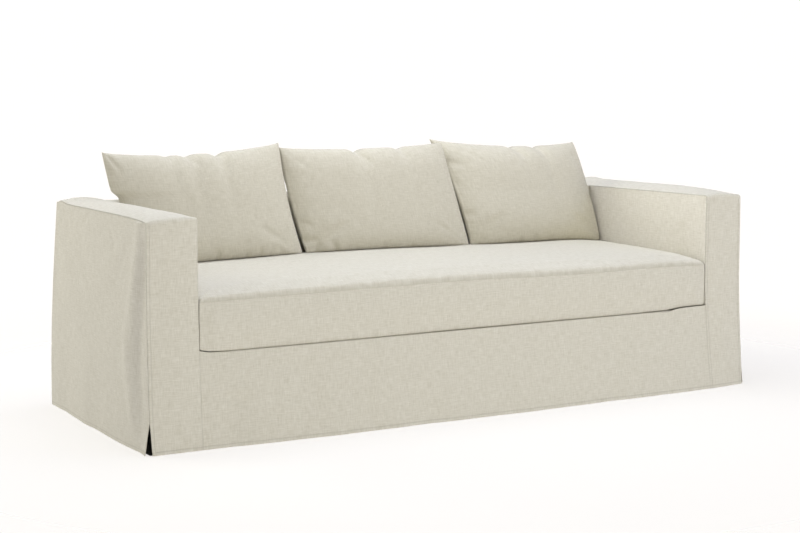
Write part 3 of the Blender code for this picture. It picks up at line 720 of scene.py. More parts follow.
# ---- Arms ----
def arm_band(arm):
    """One strip: up the arm's front from the hem, over a quarter-round bend and back along its
    top, which is a parabola from seam to seam."""
    step = look().fine_step
    across = places(ARM + 2 * LAP, step, STITCHED, STITCHED)
    share = across / across[-1]
    swell = arch(share)

    front_run = places(HEIGHT - 2 * BEND, step, HEMMED, CUT)
    z = front_run[:, None]
    outer = HALF + SEAM_BOW * hang(z) + LAP - SLIT_TURN * vent(z)
    x = arm.side * (outer + (INNER - LAP - outer) * share)
    front = points_of(x, front_y(x, z) - FACE_BULGE * swell * ease(z / SLIT), z)

    top_run = places(DEPTH + LAP - BEND, step * 1.3, CUT, PLAIN)
    y = FRONT + BEND + top_run[:, None]
    x = arm.side * (HALF + LAP + (INNER - 2 * LAP - HALF) * share)
    fore, rear = arm.crown
    rise = 1 - (1 - CROWN_START) * np.exp(-(y - FRONT) / CROWN_REACH)
    rise = rise * (fore + (rear - fore) * ease((y - FRONT) / DEPTH))
    rise = rise * ease((BACK + LAP - y) / CROWN_END)
    z = outer_seam_z(arm, y) * (1 - share) + HEIGHT * share + rise * swell
    top = points_of(x, y, z)

    turn = np.pi / 2 * np.arange(BEND_ROWS)[:, None] / BEND_ROWS
    y = FRONT + BEND - (BEND + FACE_BULGE * swell) * np.cos(turn)
    z = z[0] - BEND + BEND * np.sin(turn) - rise[0] * swell * (1 - np.sin(turn))
    bend = points_of(x, y, z)

    middle = np.concatenate([front, bend, top])
    bend_run = front_run[-1] + BEND + BEND * turn[:, 0]
    last = bend_run[-1] + BEND * np.pi / 2 / BEND_ROWS
    along = np.concatenate([front_run, bend_run, last + top_run])
    lay_cloth(arm.name + "_band", middle, across, along,
              Edges(STITCHED_UP, arm.beside_seat, HEMMED, PLAIN), (0, -1, 1),
              softness(across, along, BAND_CREASES, 40 + arm.side, 0.02), (3 + arm.side, arm.seed))


def arm_outer(arm):
    """The side cloth, from the top seam to the hem, loose along its vent edge.  It swings out
    from the front corner over a shoulder that widens downwards."""
    edges = Edges(PLAIN, PLAIN, PLAIN, HEMMED)
    across, along = flat_cut(DEPTH - 2 * PULL, HEIGHT - PULL, 1.15, edges)
    z = (along[-1] - along)[:, None]
    share = across / across[-1]
    near = front_y(arm.side * HALF, z) + PULL + SLIT_SET_BACK * vent(z)
    far = BACK + BACK_CORNER[1] * hang(z) - PULL
    y = near + (far - near) * share
    shoulder = SHOULDER_TOP + (SHOULDER_HEM - SHOULDER_TOP) * (1 - z / HEIGHT)
    swung = np.tanh(SHOULDER_RISE * ((y - near) / shoulder) ** SHOULDER_POWER)
    turned = ease((share - 1 + BACK_TURN) / BACK_TURN)
    out = SEAM_BOW + (through(arm.kicks, y) - SEAM_BOW) * swung
    out = out + (BACK_CORNER[0] - out) * turned
    x = HALF + out * hang(z) + SLIT_SPREAD * vent(z) * np.exp(-(y - near) / SLIT_REACH)
    x = x + folded(arm.folds, y, z) * swung * (1 - turned)
    drooped = ease((z - DROOP_ROWS) / (HEIGHT - PULL - DROOP_ROWS))
    z = z + (outer_seam_z(arm, y) - HEIGHT) * drooped
    lay_cloth(arm.name + "_outer", points_of(arm.side * x, y, z), across, along, edges,
              (arm.side, 0, 0),
              softness(across, along, arm.creases, 60 + arm.side), (6 + arm.side, arm.seed + 1))


def arm_inner(arm):
    """The cloth between the arm's top and the deck, facing the seat, with a dip near its front."""
    edges = Edges(PLAIN, CUT, PLAIN, CUT)
    across, along = flat_cut(BACK_IN - FRONT - 2 * PULL, HEIGHT - DECK - 2 * PULL, 1.2, edges)
    z = HEIGHT - PULL - along[:, None]
    near = front_y(arm.side * INNER, z) + PULL
    share = across / across[-1]
    y = near + (BACK_IN - PULL - near) * share
    dip = INNER_DIP * np.exp(-((share - INNER_DIP_AT) / INNER_DIP_WIDTH) ** 2)
    height = np.clip((z - DECK) / (HEIGHT - DECK), 0, 1)
    x = arm.side * (INNER + dip * np.sin(np.pi * height) * ease(2 * share / INNER_DIP_WIDTH))
    # This cloth takes the lighter copy of the linen, as painted light.
    lay_cloth(arm.name + "_inner", points_of(x, y, z), across, along, edges, (-arm.side, 0, 0),
              softness(across, along, INNER_CREASES, 80 + arm.side),
              (9 + arm.side, arm.seed + 2), "inner_colour")


# ---- Front, deck and back ----
def front_skirt():
    """The cloth that hangs from the deck's front edge to the hem, between the arms' fronts.  Its
    top edge follows the seat cushion's lower seam."""
    edges = Edges(PLAIN, PLAIN, PLAIN, HEMMED)
    side = INNER - CLOTH / 2
    across, along = flat_cut(2 * side, DECK + LAP, 1.2, edges)
    x = across - side
    z = (along[-1] - along)[:, None]
    place, half, depth = SKIRT_HOLLOW
    top = through(LOW_SEAM, x) - SKIRT_UNDER - depth * np.exp(-((x - place) / half) ** 2)
    z = z + (top - z[0]) * ease(z / DECK * 4 - 3)
    y = front_y(x, z) - folded(SKIRT_FOLDS, x, z) * held(x / side)
    lay_cloth("front_skirt", points_of(x, y, z), across, along, edges, (0, -1, 0),
              softness(across, along, SKIRT_CREASES, 101), (12, 14))


def seat_deck():
    """The flat cloth under the seat cushion."""
    edges = Edges(CUT, CUT, CUT, CUT)
    near_edge = FRONT + PULL
    across, along = flat_cut(2 * INNER, BACK_IN - near_edge, 4, edges)
    x = across - INNER
    near = front_y(x, DECK) + PULL
    y = BACK_IN + (near - BACK_IN) * (1 - along / along[-1])[:, None]
    relief = -0.0004 * np.abs(uneven(*np.meshgrid(across, along), 0.11, 5))
    lay_cloth("seat_deck", points_of(x, y, DECK), across, along, edges, (0, 0, 1),
              relief, (13, 15))


def back_inner():
    """The cloth that the back cushions lean on."""
    edges = Edges(CUT, CUT, PLAIN, CUT)
    side = INNER - PULL
    across, along = flat_cut(2 * side, HEIGHT - DECK - 2 * PULL, 2.2, edges)
    z = HEIGHT - PULL - along[:, None]
    # This cloth takes the lighter copy of the linen, as painted light.
    lay_cloth("back_inner", points_of(across - side, BACK_IN, z), across, along, edges, (0, -1, 0),
              softness(across, along, (), 121), (14, 16), "inner_colour")


def back_top():
    """The strip along the top of the back: a parabola from seam to seam, level at its ends."""
    edges = Edges(PLAIN, PLAIN, PLAIN, STITCHED)
    side = INNER - CLOTH / 2
    across, along = flat_cut(2 * side, ARM + 2 * LAP, 1.5, edges)
    x = across - side
    z = HEIGHT + BACK_CROWN * arch(along / along[-1])[:, None] * held(x / side)
    lay_cloth("back_top", points_of(x, BACK_IN - LAP + along[:, None], z), across, along, edges,
              (0, 0, 1), softness(across, along, (), 141), (15, 17))


def back_outer():
    """The cloth behind the back, from the top seam to the hem, over the full width."""
    edges = Edges(STITCHED, STITCHED, PLAIN, HEMMED)
    across, along = flat_cut(2 * (HALF + BACK_CORNER[0]), HEIGHT - PULL, 1.6, edges)
    z = (along[-1] - along)[:, None]
    share = 2 * across / across[-1] - 1
    x = (HALF + BACK_CORNER[0] * hang(z) + LAP) * share
    free = through(BACK_KICKS, x) * hang(z) + folded(BACK_FOLDS, x, z)
    corner = BACK_CORNER[1] * hang(z)
    y = BACK + corner + (free - corner) * held(share)
    lay_cloth("back_outer", points_of(x, y, z), across, along, edges, (0, 1, 0),
              softness(across, along, BACK_CREASES, 161), (16, 18))


# ---- Filling a cushion ----
def crowded(steps):
    """Shares from 0 to 1 that lie closer together towards both ends."""
    even = np.linspace(0, 1, steps + 1)
    return 0.5 * even + 0.25 * (1 - np.cos(np.pi * even))


def pillow_faces(rows, columns):
    """Quads of a front and a rear grid that share their outer ring, and the numbers of the
    rear grid's own points."""
    number = np.arange(rows * columns).reshape(rows, columns)
    inside = number[1:-1, 1:-1].ravel()
    rear_number = number.copy().ravel()
    rear_number[inside] = rows * columns + np.arange(inside.size)
    faces = grid_faces(rows, columns)
    return np.concatenate([faces, rear_number[faces][:, ::-1]]).tolist(), inside


def filled(front, rear, limit):
    """How far the filling pushes the points of a cushion's front: Blender's cloth is blown up
    from the given shape with its seams held and its panels cut a little too large, so it
    swells and buckles beside the seams.  No point moves further than limit."""
    rows, columns = front.shape[:2]
    faces, inside = pillow_faces(rows, columns)
    points = strung(front, rear.reshape(-1, 3)[inside])
    mesh = bpy.data.meshes.new("filling")
    mesh.from_pydata(points.tolist(), [], faces)
    pad = bpy.data.objects.new("filling", mesh)
    scene = bpy.context.scene
    scene.collection.objects.link(pad)
    pad.shape_key_add(name="start")
    cut = pad.shape_key_add(name="cut")
    middle = points.mean(axis=0)
    cut.data.foreach_set("co", (middle + (points - middle) * (1 + EXTRA_CLOTH)).ravel())
    seam = pad.vertex_groups.new(name="seam")
    seam.add(np.setdiff1d(np.arange(rows * columns), inside).tolist(), 1.0, "REPLACE")
    cloth = pad.modifiers.new("cloth", "CLOTH")
    for name, value in {
            "quality": 6, "mass": 0.25, "tension_stiffness": 20, "compression_stiffness": 20,
            "shear_stiffness": 8, "bending_stiffness": 0.6, "vertex_group_mass": "seam",
            "rest_shape_key": cut, "use_pressure": True, "uniform_pressure_force": PRESSURE}.items():
        setattr(cloth.settings, name, value)
    cloth.settings.effector_weights.gravity = 0
    cloth.collision_settings.use_collision = False
    cloth.point_cache.frame_start = 1
    cloth.point_cache.frame_end = FRAMES
    for step in range(1, FRAMES + 1):
        scene.frame_set(step)
    shaped = pad.evaluated_get(bpy.context.evaluated_depsgraph_get())
    blown = np.empty(len(points) * 3)
    shaped.data.vertices.foreach_get("co", blown)
    moved = (blown.reshape(-1, 3) - points)[:rows * columns]
    scene.frame_set(1)
    bpy.data.objects.remove(pad)
    bpy.data.meshes.remove(mesh)
    length = np.linalg.norm(moved, axis=1, keepdims=True)
    moved = moved * limit * np.tanh(length / limit) / np.maximum(length, 1e-9)
    return moved.reshape(front.shape)


def blended(values, down, across):
    """The values of a grid of crowded places at the finer shares down and across it: cubic
    B-splines."""
    def weights(share, count):
        place = np.interp(share, crowded(count - 1), np.arange(count))
        start = np.clip(np.floor(place).astype(int), 0, count - 2)
        t = place - start
        pulls = ((1 - t) ** 3, 3 * t ** 3 - 6 * t ** 2 + 4, -3 * t ** 3 + 3 * t ** 2 + 3 * t + 1, t ** 3)
        table = np.zeros((len(place), count))
        for offset, pull in zip((-1, 0, 1, 2), pulls):
            column = np.clip(start + offset, 0, count - 1)
            np.add.at(table, (np.arange(len(place)), column), pull / 6)
        return table
    return np.einsum("ri,ijk,cj->rck", weights(down, values.shape[0]), values,
                     weights(across, values.shape[1]))


# ---- Cushions ----
def seat_top_z(x, y):
    """Top of the seat cushion: its seam's height plus a crown that rises behind the front seam
    in a quarter round and a soft shoulder, and stays fuller in the middle than beside the arms."""
    behind = np.clip(y - SEAT_FRONT, 0, None)
    ahead = np.clip(SEAT_BACK - y, 0, None)
    beside = np.clip(SEAT_SIDE - np.abs(x), 0, None)
    left_over = 1 - np.clip(behind / SEAT_ROUND, 0, 1)
    front = (SEAT_ROUND_SHARE * np.sqrt(1 - left_over ** 2)
             + (1 - SEAT_ROUND_SHARE) * (1 - np.exp(-behind / SEAT_SHOULDER)))
    slope = SEAT_FORE + (1 - SEAT_FORE) * ease(behind / SEAT_FULL)
    rear = 1 - np.exp(-ahead / SEAT_REAR_TURN)
    side = (SEAT_SIDE_SHARE * (1 - np.exp(-beside / SEAT_SIDE_TURN))
            + (1 - SEAT_SIDE_SHARE) * (1 - np.exp(-beside / SEAT_SIDE_SOFT)))
    return through(TOP_SEAM, x) + SEAT_CROWN * front * slope * rear * side


def inwards(x, y, by):
    """Places on the seat cushion's plan, drawn in from its sides by a distance."""
    return x * (1 - by / SEAT_SIDE), SEAT_MIDDLE + (y - SEAT_MIDDLE) * (1 - by / SEAT_HALF)


def rounded(x, y, by=0.0):
    """Places on the seat cushion's plan, inset by a distance, with its corners rounded: one past
    a corner's arc is brought in along the radius."""
    past_x = np.clip(np.abs(x) - (SEAT_SIDE - by - SEAT_CORNER), 0, None)
    past_y = np.clip(np.abs(y - SEAT_MIDDLE) - (SEAT_HALF - by - SEAT_CORNER), 0, None)
    reach = np.hypot(past_x, past_y)
    cut = 1 - np.where(reach > SEAT_CORNER, SEAT_CORNER / np.maximum(reach, 1e-9), 1.0)
    return x - np.sign(x) * past_x * cut, y - np.sign(y - SEAT_MIDDLE) * past_y * cut


def seat_cushion(seed):
    """Box cushion: a crowned top, a band around it that swells forwards, and a bottom that lies
    flat on the deck.  Its rings run from the top grid's rim down the band and in under it."""
    step = look().fine_step * 1.4
    across = places(2 * SEAT_SIDE, step, PLAIN, PLAIN)
    along = places(2 * SEAT_HALF, step, PLAIN, PLAIN)
    x, y = rounded(*np.meshgrid(across - SEAT_SIDE, along + SEAT_FRONT))
    to_seam = np.minimum(np.minimum(SEAT_SIDE - np.abs(x), y - SEAT_FRONT), SEAT_BACK - y)
    soft = (uneven(x, y, 0.16, 201) + 0.5 * uneven(x, y, 0.06, 202)) * ease(to_seam / 0.05)
    drawn = uneven(x * 0.16, y + 0.06 * x, 0.022, 203) * ease(to_seam / 0.04)
    z = seat_top_z(x, y) + look().looseness * 0.45 * soft + 0.0005 * drawn
    z -= NIP * np.exp(-((to_seam / NIP_WIDTH) ** 2))

    pad_x, pad_y = np.meshgrid((2 * crowded(96) - 1) * SEAT_SIDE,
                               SEAT_MIDDLE + (2 * crowded(44) - 1) * SEAT_HALF)
    pad_x, pad_y = rounded(pad_x, pad_y)
    over = seat_top_z(pad_x, pad_y)
    under = 2 * through(TOP_SEAM, pad_x) - over
    swell = filled(points_of(pad_x, pad_y, over), points_of(pad_x, pad_y, under), SEAT_SWELL)
    swell *= ease((CUSHION_FOOT - SWELL_CLEAR - pad_y) / SWELL_FADE)[:, :, None]
    swell = blended(swell, along / along[-1], across / across[-1]) * ease(to_seam / 0.01)[:, :, None]
    top = strung(points_of(x, y, z) + swell)

    number = np.arange(x.size).reshape(x.shape)
    rim = np.concatenate([number[0, :-1], number[:-1, -1], number[-1, :0:-1], number[:0:-1, 0]])
    rim_x, rim_y, rim_z = top[rim].T
    low_z = through(LOW_SEAM, rim_x)
    height = float(np.mean(rim_z - low_z))
    run = np.concatenate([[0], np.cumsum(np.linalg.norm(np.diff(top[rim], axis=0), axis=1))])
    forwards = ease((SEAT_FRONT + BOXING_FADE - rim_y) / (BOXING_FADE / 2))
    flush = ease(1 - (SEAT_SIDE - np.abs(rim_x)) / SEAT_FLUSH)
    at_end = ease(1 - (SEAT_SIDE - np.abs(rim_x)) / SEAT_END)
    down = places(height, step, PLAIN, PLAIN)[1:, None]
    share = down / height
    bulge = BOXING_BULGE * arch(share) + 0.0007 * uneven(run, down, 0.07, 211)
    full = np.sqrt(ease(share / 0.3)) * (1 - 0.4 * ease((share - 0.9) / 0.1))
    wall_x = rim_x + np.sign(rim_x) * SEAT_END_BULGE * full * at_end
    wall_y = rim_y - bulge * forwards * (1 - 0.9 * flush)
    nip = NIP * np.exp(-(np.minimum(down, height - down) / NIP_WIDTH) ** 2)
    wall = points_of(*inwards(wall_x, wall_y, nip), rim_z + (low_z - rim_z) * share)
    inside, lowered = np.array(SEAT_UNDER).T[:, :, None]
    under = points_of(*rounded(*inwards(rim_x, rim_y, inside), inside),
                      low_z + (SEAT_BOTTOM - low_z) * lowered)

    lower = x.size + np.arange((len(down) + len(inside)) * len(rim)).reshape(-1, len(rim))
    upper = np.concatenate([rim[None], lower[:-1]])
    rings = np.stack([upper, lower, np.roll(lower, -1, axis=1), np.roll(upper, -1, axis=1)], axis=-1)
    faces = np.concatenate([grid_faces(*x.shape), rings.reshape(-1, 4)]).tolist()
    faces.append(lower[-1, ::-1].tolist())
    depth = np.concatenate([down, height + inside])
    # Distance to the band's seams, beside which the linen paints shade.
    beside = np.minimum(depth, np.abs(height - depth)) + 0 * run
    piece = add_piece("seat_cushion", "_filled", strung(top, wall, under), faces,
                      strung(points_of(x, y, 0.0), points_of(run + 4.0, SEAT_FRONT - depth + 2.0, 0.0)),
                      strung(points_of(NO_LINE, NO_LINE, to_seam), points_of(NO_LINE, NO_LINE, beside)),
                      "linen_colour", seed)


def rest_z(x, y):
    """Height at which a back cushion lies on the seat cushion.  Where the seat's top curves
    down to its side and rear seams, the back cushion bridges level over the curve."""
    level_x = np.clip(x, SEAT_EDGE - SEAT_SIDE, SEAT_SIDE - SEAT_EDGE)
    level_y = np.minimum(y, SEAT_BACK - SEAT_EDGE)
    return seat_top_z(level_x, level_y) + REST_GAP


def behind_patch(swell, y, z):
    """How far the rear of a cushion may swell behind its seams' patch: as far as the back, at
    the height z, lets it.  The result is a smooth minimum of the swell and that room."""
    stop = BACK_IN - CLOTH / 2 - LEAN_CLEAR + LEAN_SLOPE * np.clip(z - HEIGHT - LEAN_FREE, 0, None)
    room = np.maximum(stop - y, 1e-5)
    return (np.maximum(swell, 1e-6) ** -4 + room ** -4) ** -0.25


def pillow(kind, u, v):
    """The front and the rear of a back cushion at the shares u across it and v up it.  Its four
    seams span a smooth patch; the face swells forwards from it, and the rear backwards until
    the back stops it."""
    v = v[:, None]
    top_left = np.array(kind.top_left)
    top_right = np.array(kind.top_right)
    low_x = kind.low_left + (kind.low_right - kind.low_left) * u
    low = points_of(low_x, CUSHION_FOOT, rest_z(low_x, CUSHION_FOOT))
    high = top_left + (top_right - top_left) * u[:, None]
    high[:, 2] -= kind.sag * arch(u) ** SAG_CURVE
    for place, depth in kind.dips:
        high[:, 2] -= depth * np.exp(-((u - place) / DIP_WIDTH) ** 2)
    left = low[0] + (high[0] - low[0]) * v
    left[:, 1] = low[0, 1] + (high[0, 1] - low[0, 1]) * v[:, 0] ** kind.lean
    right = low[-1] + (high[-1] - low[-1]) * v
    left[:, 0] += kind.bow_left * arch(v[:, 0])
    right[:, 0] -= kind.bow_right * arch(v[:, 0])
    free = ease((v[:, 0] - TUCK_SHARE) / TUCK_FADE)
    for seam in (left, right):
        between = np.clip(seam[:, 0], ARM_CLEAR - INNER, INNER - ARM_CLEAR)
        seam[:, 0] += (between - seam[:, 0]) * (1 - free)

    across = u[None, :, None]
    upward = v[:, :, None]
    patch = ((1 - across) * left[:, None, :] + across * right[:, None, :]
             + (1 - upward) * low[None, :, :] + upward * high[None, :, :]
             - (1 - across) * (1 - upward) * low[0] - across * (1 - upward) * low[-1]
             - (1 - across) * upward * high[0] - across * upward * high[-1])
    fullness = arch(u) ** PUFF_POWER * (1 - np.abs(2 * v - 1) ** PUFF_FLAT) ** PUFF_ROUND
    fullness = fullness * (1 + TOP_FULLNESS * v)
    level = CUSHION_FOOT + (top_right[1] - CUSHION_FOOT) * v
    puff = fullness * (FRONT_PUFF + LEAN_FILLED * np.clip(patch[:, :, 1] - level, 0, None))
    front = patch + puff[:, :, None] * np.array(FRONT_WAY)
    front[:, :, 2] -= puff * FOOT_PRESS * (1 - v) ** FOOT_PRESS_POWER
    back = behind_patch(fullness * REAR_PUFF, patch[:, :, 1], patch[:, :, 2]) * (fullness > 0)
    return front, patch + back[:, :, None] * np.array(REAR_WAY)


def back_cushion(kind, seed, weave_seed):
    """Knife-edge cushion standing on the seat and leaning on the back: the pillow's shape, the
    push of its filling, and the creases and gathers beside its seams."""
    width = kind.low_right - kind.low_left
    across_run = places(width, look().fine_step, PLAIN, PLAIN)
    up_run = places(CUSHION_TALL, look().fine_step, PLAIN, PLAIN)
    u = across_run / width
    v = up_run / CUSHION_TALL
    front, rear = pillow(kind, u, v)
    push = filled(*pillow(kind, crowded(60), crowded(44)), BACK_SWELL)

    x, y = np.meshgrid(across_run, up_run)
    to_side = np.minimum(x, width - x)
    to_level = np.minimum(y, CUSHION_TALL - y)
    to_seam = np.minimum(to_side, to_level)
    soft = uneven(x, y, 0.15, seed) + 0.45 * uneven(x, y, 0.06, seed + 1)
    gathers = (uneven(0 * x + 3, y, GATHER_SIZE, seed + 2) * np.exp(-to_side / 0.025)
               + uneven(x, 0 * y + 3, GATHER_SIZE, seed + 3) * np.exp(-to_level / 0.030))
    relief = (SOFT_HEIGHT * soft * ease(to_seam / 0.06) + GATHER_HEIGHT * gathers * ease(to_seam / 0.010)
              + creased(kind.creases, x, y) * ease(to_seam / 0.004))
    front += blended(push, v, u) * ease(to_seam / 0.008)[:, :, None]
    front += relief[:, :, None] * np.array(FRONT_WAY)
    for side in (front, rear):
        side[:, :, 2] = np.maximum(side[:, :, 2], rest_z(side[:, :, 0], side[:, :, 1]))

    faces, inside = pillow_faces(*x.shape)
    weave = strung(points_of(x + seed, y, 0.0))
    # to_seam also tells the linen where to paint shade beside the seams.
    stitch = strung(points_of(NO_LINE, NO_LINE, to_seam))
    # The back cushions take the darker copy of the linen, as painted shade.
    piece = add_piece(kind.name, "_filled", strung(front, strung(rear)[inside]), faces,
                      strung(weave, weave[inside] + np.array([0.9, 0.9, 0])),
                      strung(stitch, stitch[inside]), "cushion_colour", weave_seed)


# ---- Settings that a user would change ----
class SlipcoverLook(bpy.types.PropertyGroup):
    """Cloth, sewing and unevenness of the cover."""

    linen_colour: FloatVectorProperty(
        name="Linen", description="Colour of the cover's cloth", subtype="COLOR", size=3,
        default=(0.610, 0.590, 0.530), min=0.0, max=1.0)
    # Painted light: a lighter copy of the cover's one linen, so that the inner cloths of the arms and
    # the back look more brightly lit.
    inner_colour: FloatVectorProperty(
        name="Inner linen", description="Colour of the linen inside the arms and the back",
        subtype="COLOR", size=3, default=(0.715, 0.688, 0.622), min=0.0, max=1.0)
    # Painted shade: a darker copy of the cover's one linen, so that the back cushions look less brightly
    # lit.
    cushion_colour: FloatVectorProperty(
        name="Cushion linen", description="Colour of the back cushions' cloth",
        subtype="COLOR", size=3, default=(0.540, 0.515, 0.446), min=0.0, max=1.0)
    thread_colour: FloatVectorProperty(
        name="Thread", description="Colour of the sewing thread", subtype="COLOR", size=3,
        default=(0.60, 0.56, 0.46), min=0.0, max=1.0)
    thread_pitch: FloatProperty(
        name="Thread pitch", description="Distance between two threads of the weave",
        default=0.0011, min=0.0003, max=0.01, unit="LENGTH")
    yarn_width: FloatProperty(
        name="Yarn streak", description="Width of a streak of uneven yarn",
        default=0.0032, min=0.0005, max=0.02, unit="LENGTH")
    yarn_run: FloatProperty(
        name="Yarn run", description="Length of a streak of uneven yarn",
        default=0.030, min=0.005, max=0.5, unit="LENGTH")
    cloud_size: FloatProperty(
        name="Cloud size", description="Size of the broad clouds in the cloth's colour",
        default=0.030, min=0.005, max=0.5, unit="LENGTH")
    heather: FloatProperty(
        name="Heather", description="Contrast of single yarns", default=1.15, min=0.0, max=4.0)
    slubs: FloatProperty(
        name="Slubs", description="Contrast of thick yarns", default=0.28, min=0.0, max=4.0)
    clouds: FloatProperty(
        name="Clouds", description="Contrast of the broad clouds", default=0.22, min=0.0, max=4.0)
    sheen: FloatProperty(
        name="Sheen", description="Soft gloss of the fibres at a low angle",
        default=0.12, min=0.0, max=1.0, subtype="FACTOR")
    stitch_length: FloatProperty(
        name="Stitch length", description="Length of one stitch and its gap",
        default=0.0040, min=0.001, max=0.02, unit="LENGTH")
    # How strong the painted shade in the seams and stitch grooves is.
    seam_shade: FloatProperty(
        name="Seam shade", description="How dark the cloth is in a seam or stitch groove",
        default=0.26, min=0.0, max=1.0, subtype="FACTOR")
    looseness: FloatProperty(
        name="Looseness", description="Height of the gentle bumps of loose cloth",
        default=0.0016, min=0.0, max=0.01, unit="LENGTH")
    loose_size: FloatProperty(
        name="Looseness size", description="Width of the gentle bumps of loose cloth",
        default=0.17, min=0.02, max=1.0, unit="LENGTH")
    fine_step: FloatProperty(
        name="Grid step", description="Distance between two points of the finest cloths",
        default=0.006, min=0.002, max=0.05, unit="LENGTH")


class SlipcoverStage(bpy.types.PropertyGroup):
    """Floor, light and camera around the cover."""

    floor_colour: FloatVectorProperty(
        name="Floor", description="Colour of the floor", subtype="COLOR", size=3,
        default=(0.93, 0.93, 0.93), min=0.0, max=1.0)
    walls: FloatProperty(
        name="Walls", description="Strength of the even light from the white walls",
        default=1.0, min=0.0, max=5.0)
    dome: FloatProperty(
        name="Dome", description="Strength of the even light from above the walls",
        default=0.15, min=0.0, max=5.0)
    top: FloatProperty(
        name="Ceiling light", description="Power of the large soft light above the cover",
        default=30.0, min=0.0, max=5000.0, unit="POWER")
    near: FloatProperty(
        name="Near light", description="Power of the small soft light above the seat",
        default=63.0, min=0.0, max=5000.0, unit="POWER")
    key: FloatProperty(
        name="Left rear light", description="Power of the soft light behind and left of the cover",
        default=163.0, min=0.0, max=5000.0, unit="POWER")
    front: FloatProperty(
        name="Front light", description="Power of the low soft light in front of the cover",
        default=88.0, min=0.0, max=5000.0, unit="POWER")
    fill: FloatProperty(
        name="Right light", description="Power of the soft light in front and right of the cover",
        default=70.0, min=0.0, max=5000.0, unit="POWER")
    rear: FloatProperty(
        name="Rear light", description="Power of the soft light behind the cover",
        default=38.0, min=0.0, max=5000.0, unit="POWER")
    camera_place: FloatVectorProperty(
        name="Camera", description="Place of the camera", subtype="TRANSLATION", size=3,
        default=(-2.7039, -4.6359, 1.0752))
    camera_turn: FloatProperty(
        name="Camera turn", description="How far round to the left the camera stands",
        default=np.radians(29.829), subtype="ANGLE")
    camera_dip: FloatProperty(
        name="Camera dip", description="How far down the camera looks",
        default=np.radians(6.567), subtype="ANGLE")
    lens: FloatProperty(
        name="Lens", description="Focal length of the camera, millimetres", default=68.14, min=10.0)


# ---- Operators ----
class SLIPCOVER_OT_arms(bpy.types.Operator):
    """Lay the band, the outer cloth and the inner cloth of both arms"""

    bl_idname = "slipcover.arms"
    bl_label = "Arm Cloths"

    def execute(self, context):
        for arm in ARMS:
            arm_band(arm)
            arm_outer(arm)
            arm_inner(arm)
        return {"FINISHED"}


class SLIPCOVER_OT_front(bpy.types.Operator):
    """Lay the front skirt and the deck"""

    bl_idname = "slipcover.front"
    bl_label = "Front and Deck Cloths"

    def execute(self, context):
        front_skirt()
        seat_deck()
        return {"FINISHED"}


class SLIPCOVER_OT_back(bpy.types.Operator):
    """Lay the inner cloth, the top strip and the outer cloth of the back"""

    bl_idname = "slipcover.back"
    bl_label = "Back Cloths"

    def execute(self, context):
        back_inner()
        back_top()
        back_outer()
        return {"FINISHED"}


class SLIPCOVER_OT_seat_cushion(bpy.types.Operator):
    """Fill the bench cushion"""

    bl_idname = "slipcover.seat_cushion"
    bl_label = "Seat Cushion"

    def execute(self, context):
        seat_cushion(19)
        return {"FINISHED"}


class SLIPCOVER_OT_back_cushions(bpy.types.Operator):
    """Fill the three back cushions"""

    bl_idname = "slipcover.back_cushions"
    bl_label = "Back Cushions"

    def execute(self, context):
        for number, kind in enumerate(BACK_CUSHIONS):
            back_cushion(kind, 301 + 10 * number, 20 + number)
        return {"FINISHED"}


# ---- Stage ----
AIM = (0.0, 0.0, 0.35)  # what the lights at the sides face
GROUND = (0.0, 0.0, 0.0)
FLOOR_CLEAR = 0.68  # how see-through the pale floor is under the cover; it is gone farther out
Light = namedtuple("Light", "name place aim size power colour")  # power names its setting
LIGHTS = (Light("ceiling_light", (0.0, 0.0, 4.5), GROUND, 4.0, "top", (0.82, 0.80, 1.0)),
          Light("near_light", (0.0, 0.0, 2.9), GROUND, 2.5, "near", (0.96, 0.99, 1.0)),
          Light("left_rear_light", (-4.0, 3.5, 3.5), AIM, 3.5, "key", (1.0, 0.99, 0.84)),
          Light("front_light", (1.0, -6.0, 1.2), AIM, 2.5, "front", (1.0, 0.96, 0.65)),
          Light("right_light", (4.5, -4.5, 2.6), AIM, 3.5, "fill", (0.50, 0.57, 1.0)),
          Light("rear_light", (0.0, 5.0, 4.0), AIM, 3.5, "rear", (0.15, 0.25, 1.0)))


def smooth_fade(finish, value, low, high, start, end):
    """A number that goes smoothly from start to end as the value goes from low to high."""
    return finish.node("ShaderNodeMapRange", {"interpolation_type": "SMOOTHSTEP"},
                       {"Value": value, "From Min": low, "From Max": high, "To Min": start,
                        "To Max": end})


def lay_floor(name, half_x, half_y, z, paint):
    """A flat rectangle around the origin, which isn't part of the cover."""
    mesh = bpy.data.meshes.new(name)
    corners = [(-half_x, -half_y, z), (half_x, -half_y, z), (half_x, half_y, z), (-half_x, half_y, z)]
    mesh.from_pydata(corners, [], [(0, 1, 2, 3)])
    mesh.materials.append(paint)
    floor = bpy.data.objects.new(name, mesh)
    bpy.context.scene.collection.objects.link(floor)


def hang_light(light, power):
    """A square soft light that faces its aim."""
    lamp = bpy.data.lights.new(light.name, "AREA")
    lamp.shape = "SQUARE"
    lamp.size = light.size
    lamp.energy = power
    lamp.color = light.colour
    hung = bpy.data.objects.new(light.name, lamp)
    bpy.context.scene.collection.objects.link(hung)
    hung.location = light.place
    x, y, z = np.subtract(light.place, light.aim)
    hung.rotation_euler = (np.arctan2(np.hypot(x, y), z), 0.0, np.arctan2(x, -y))


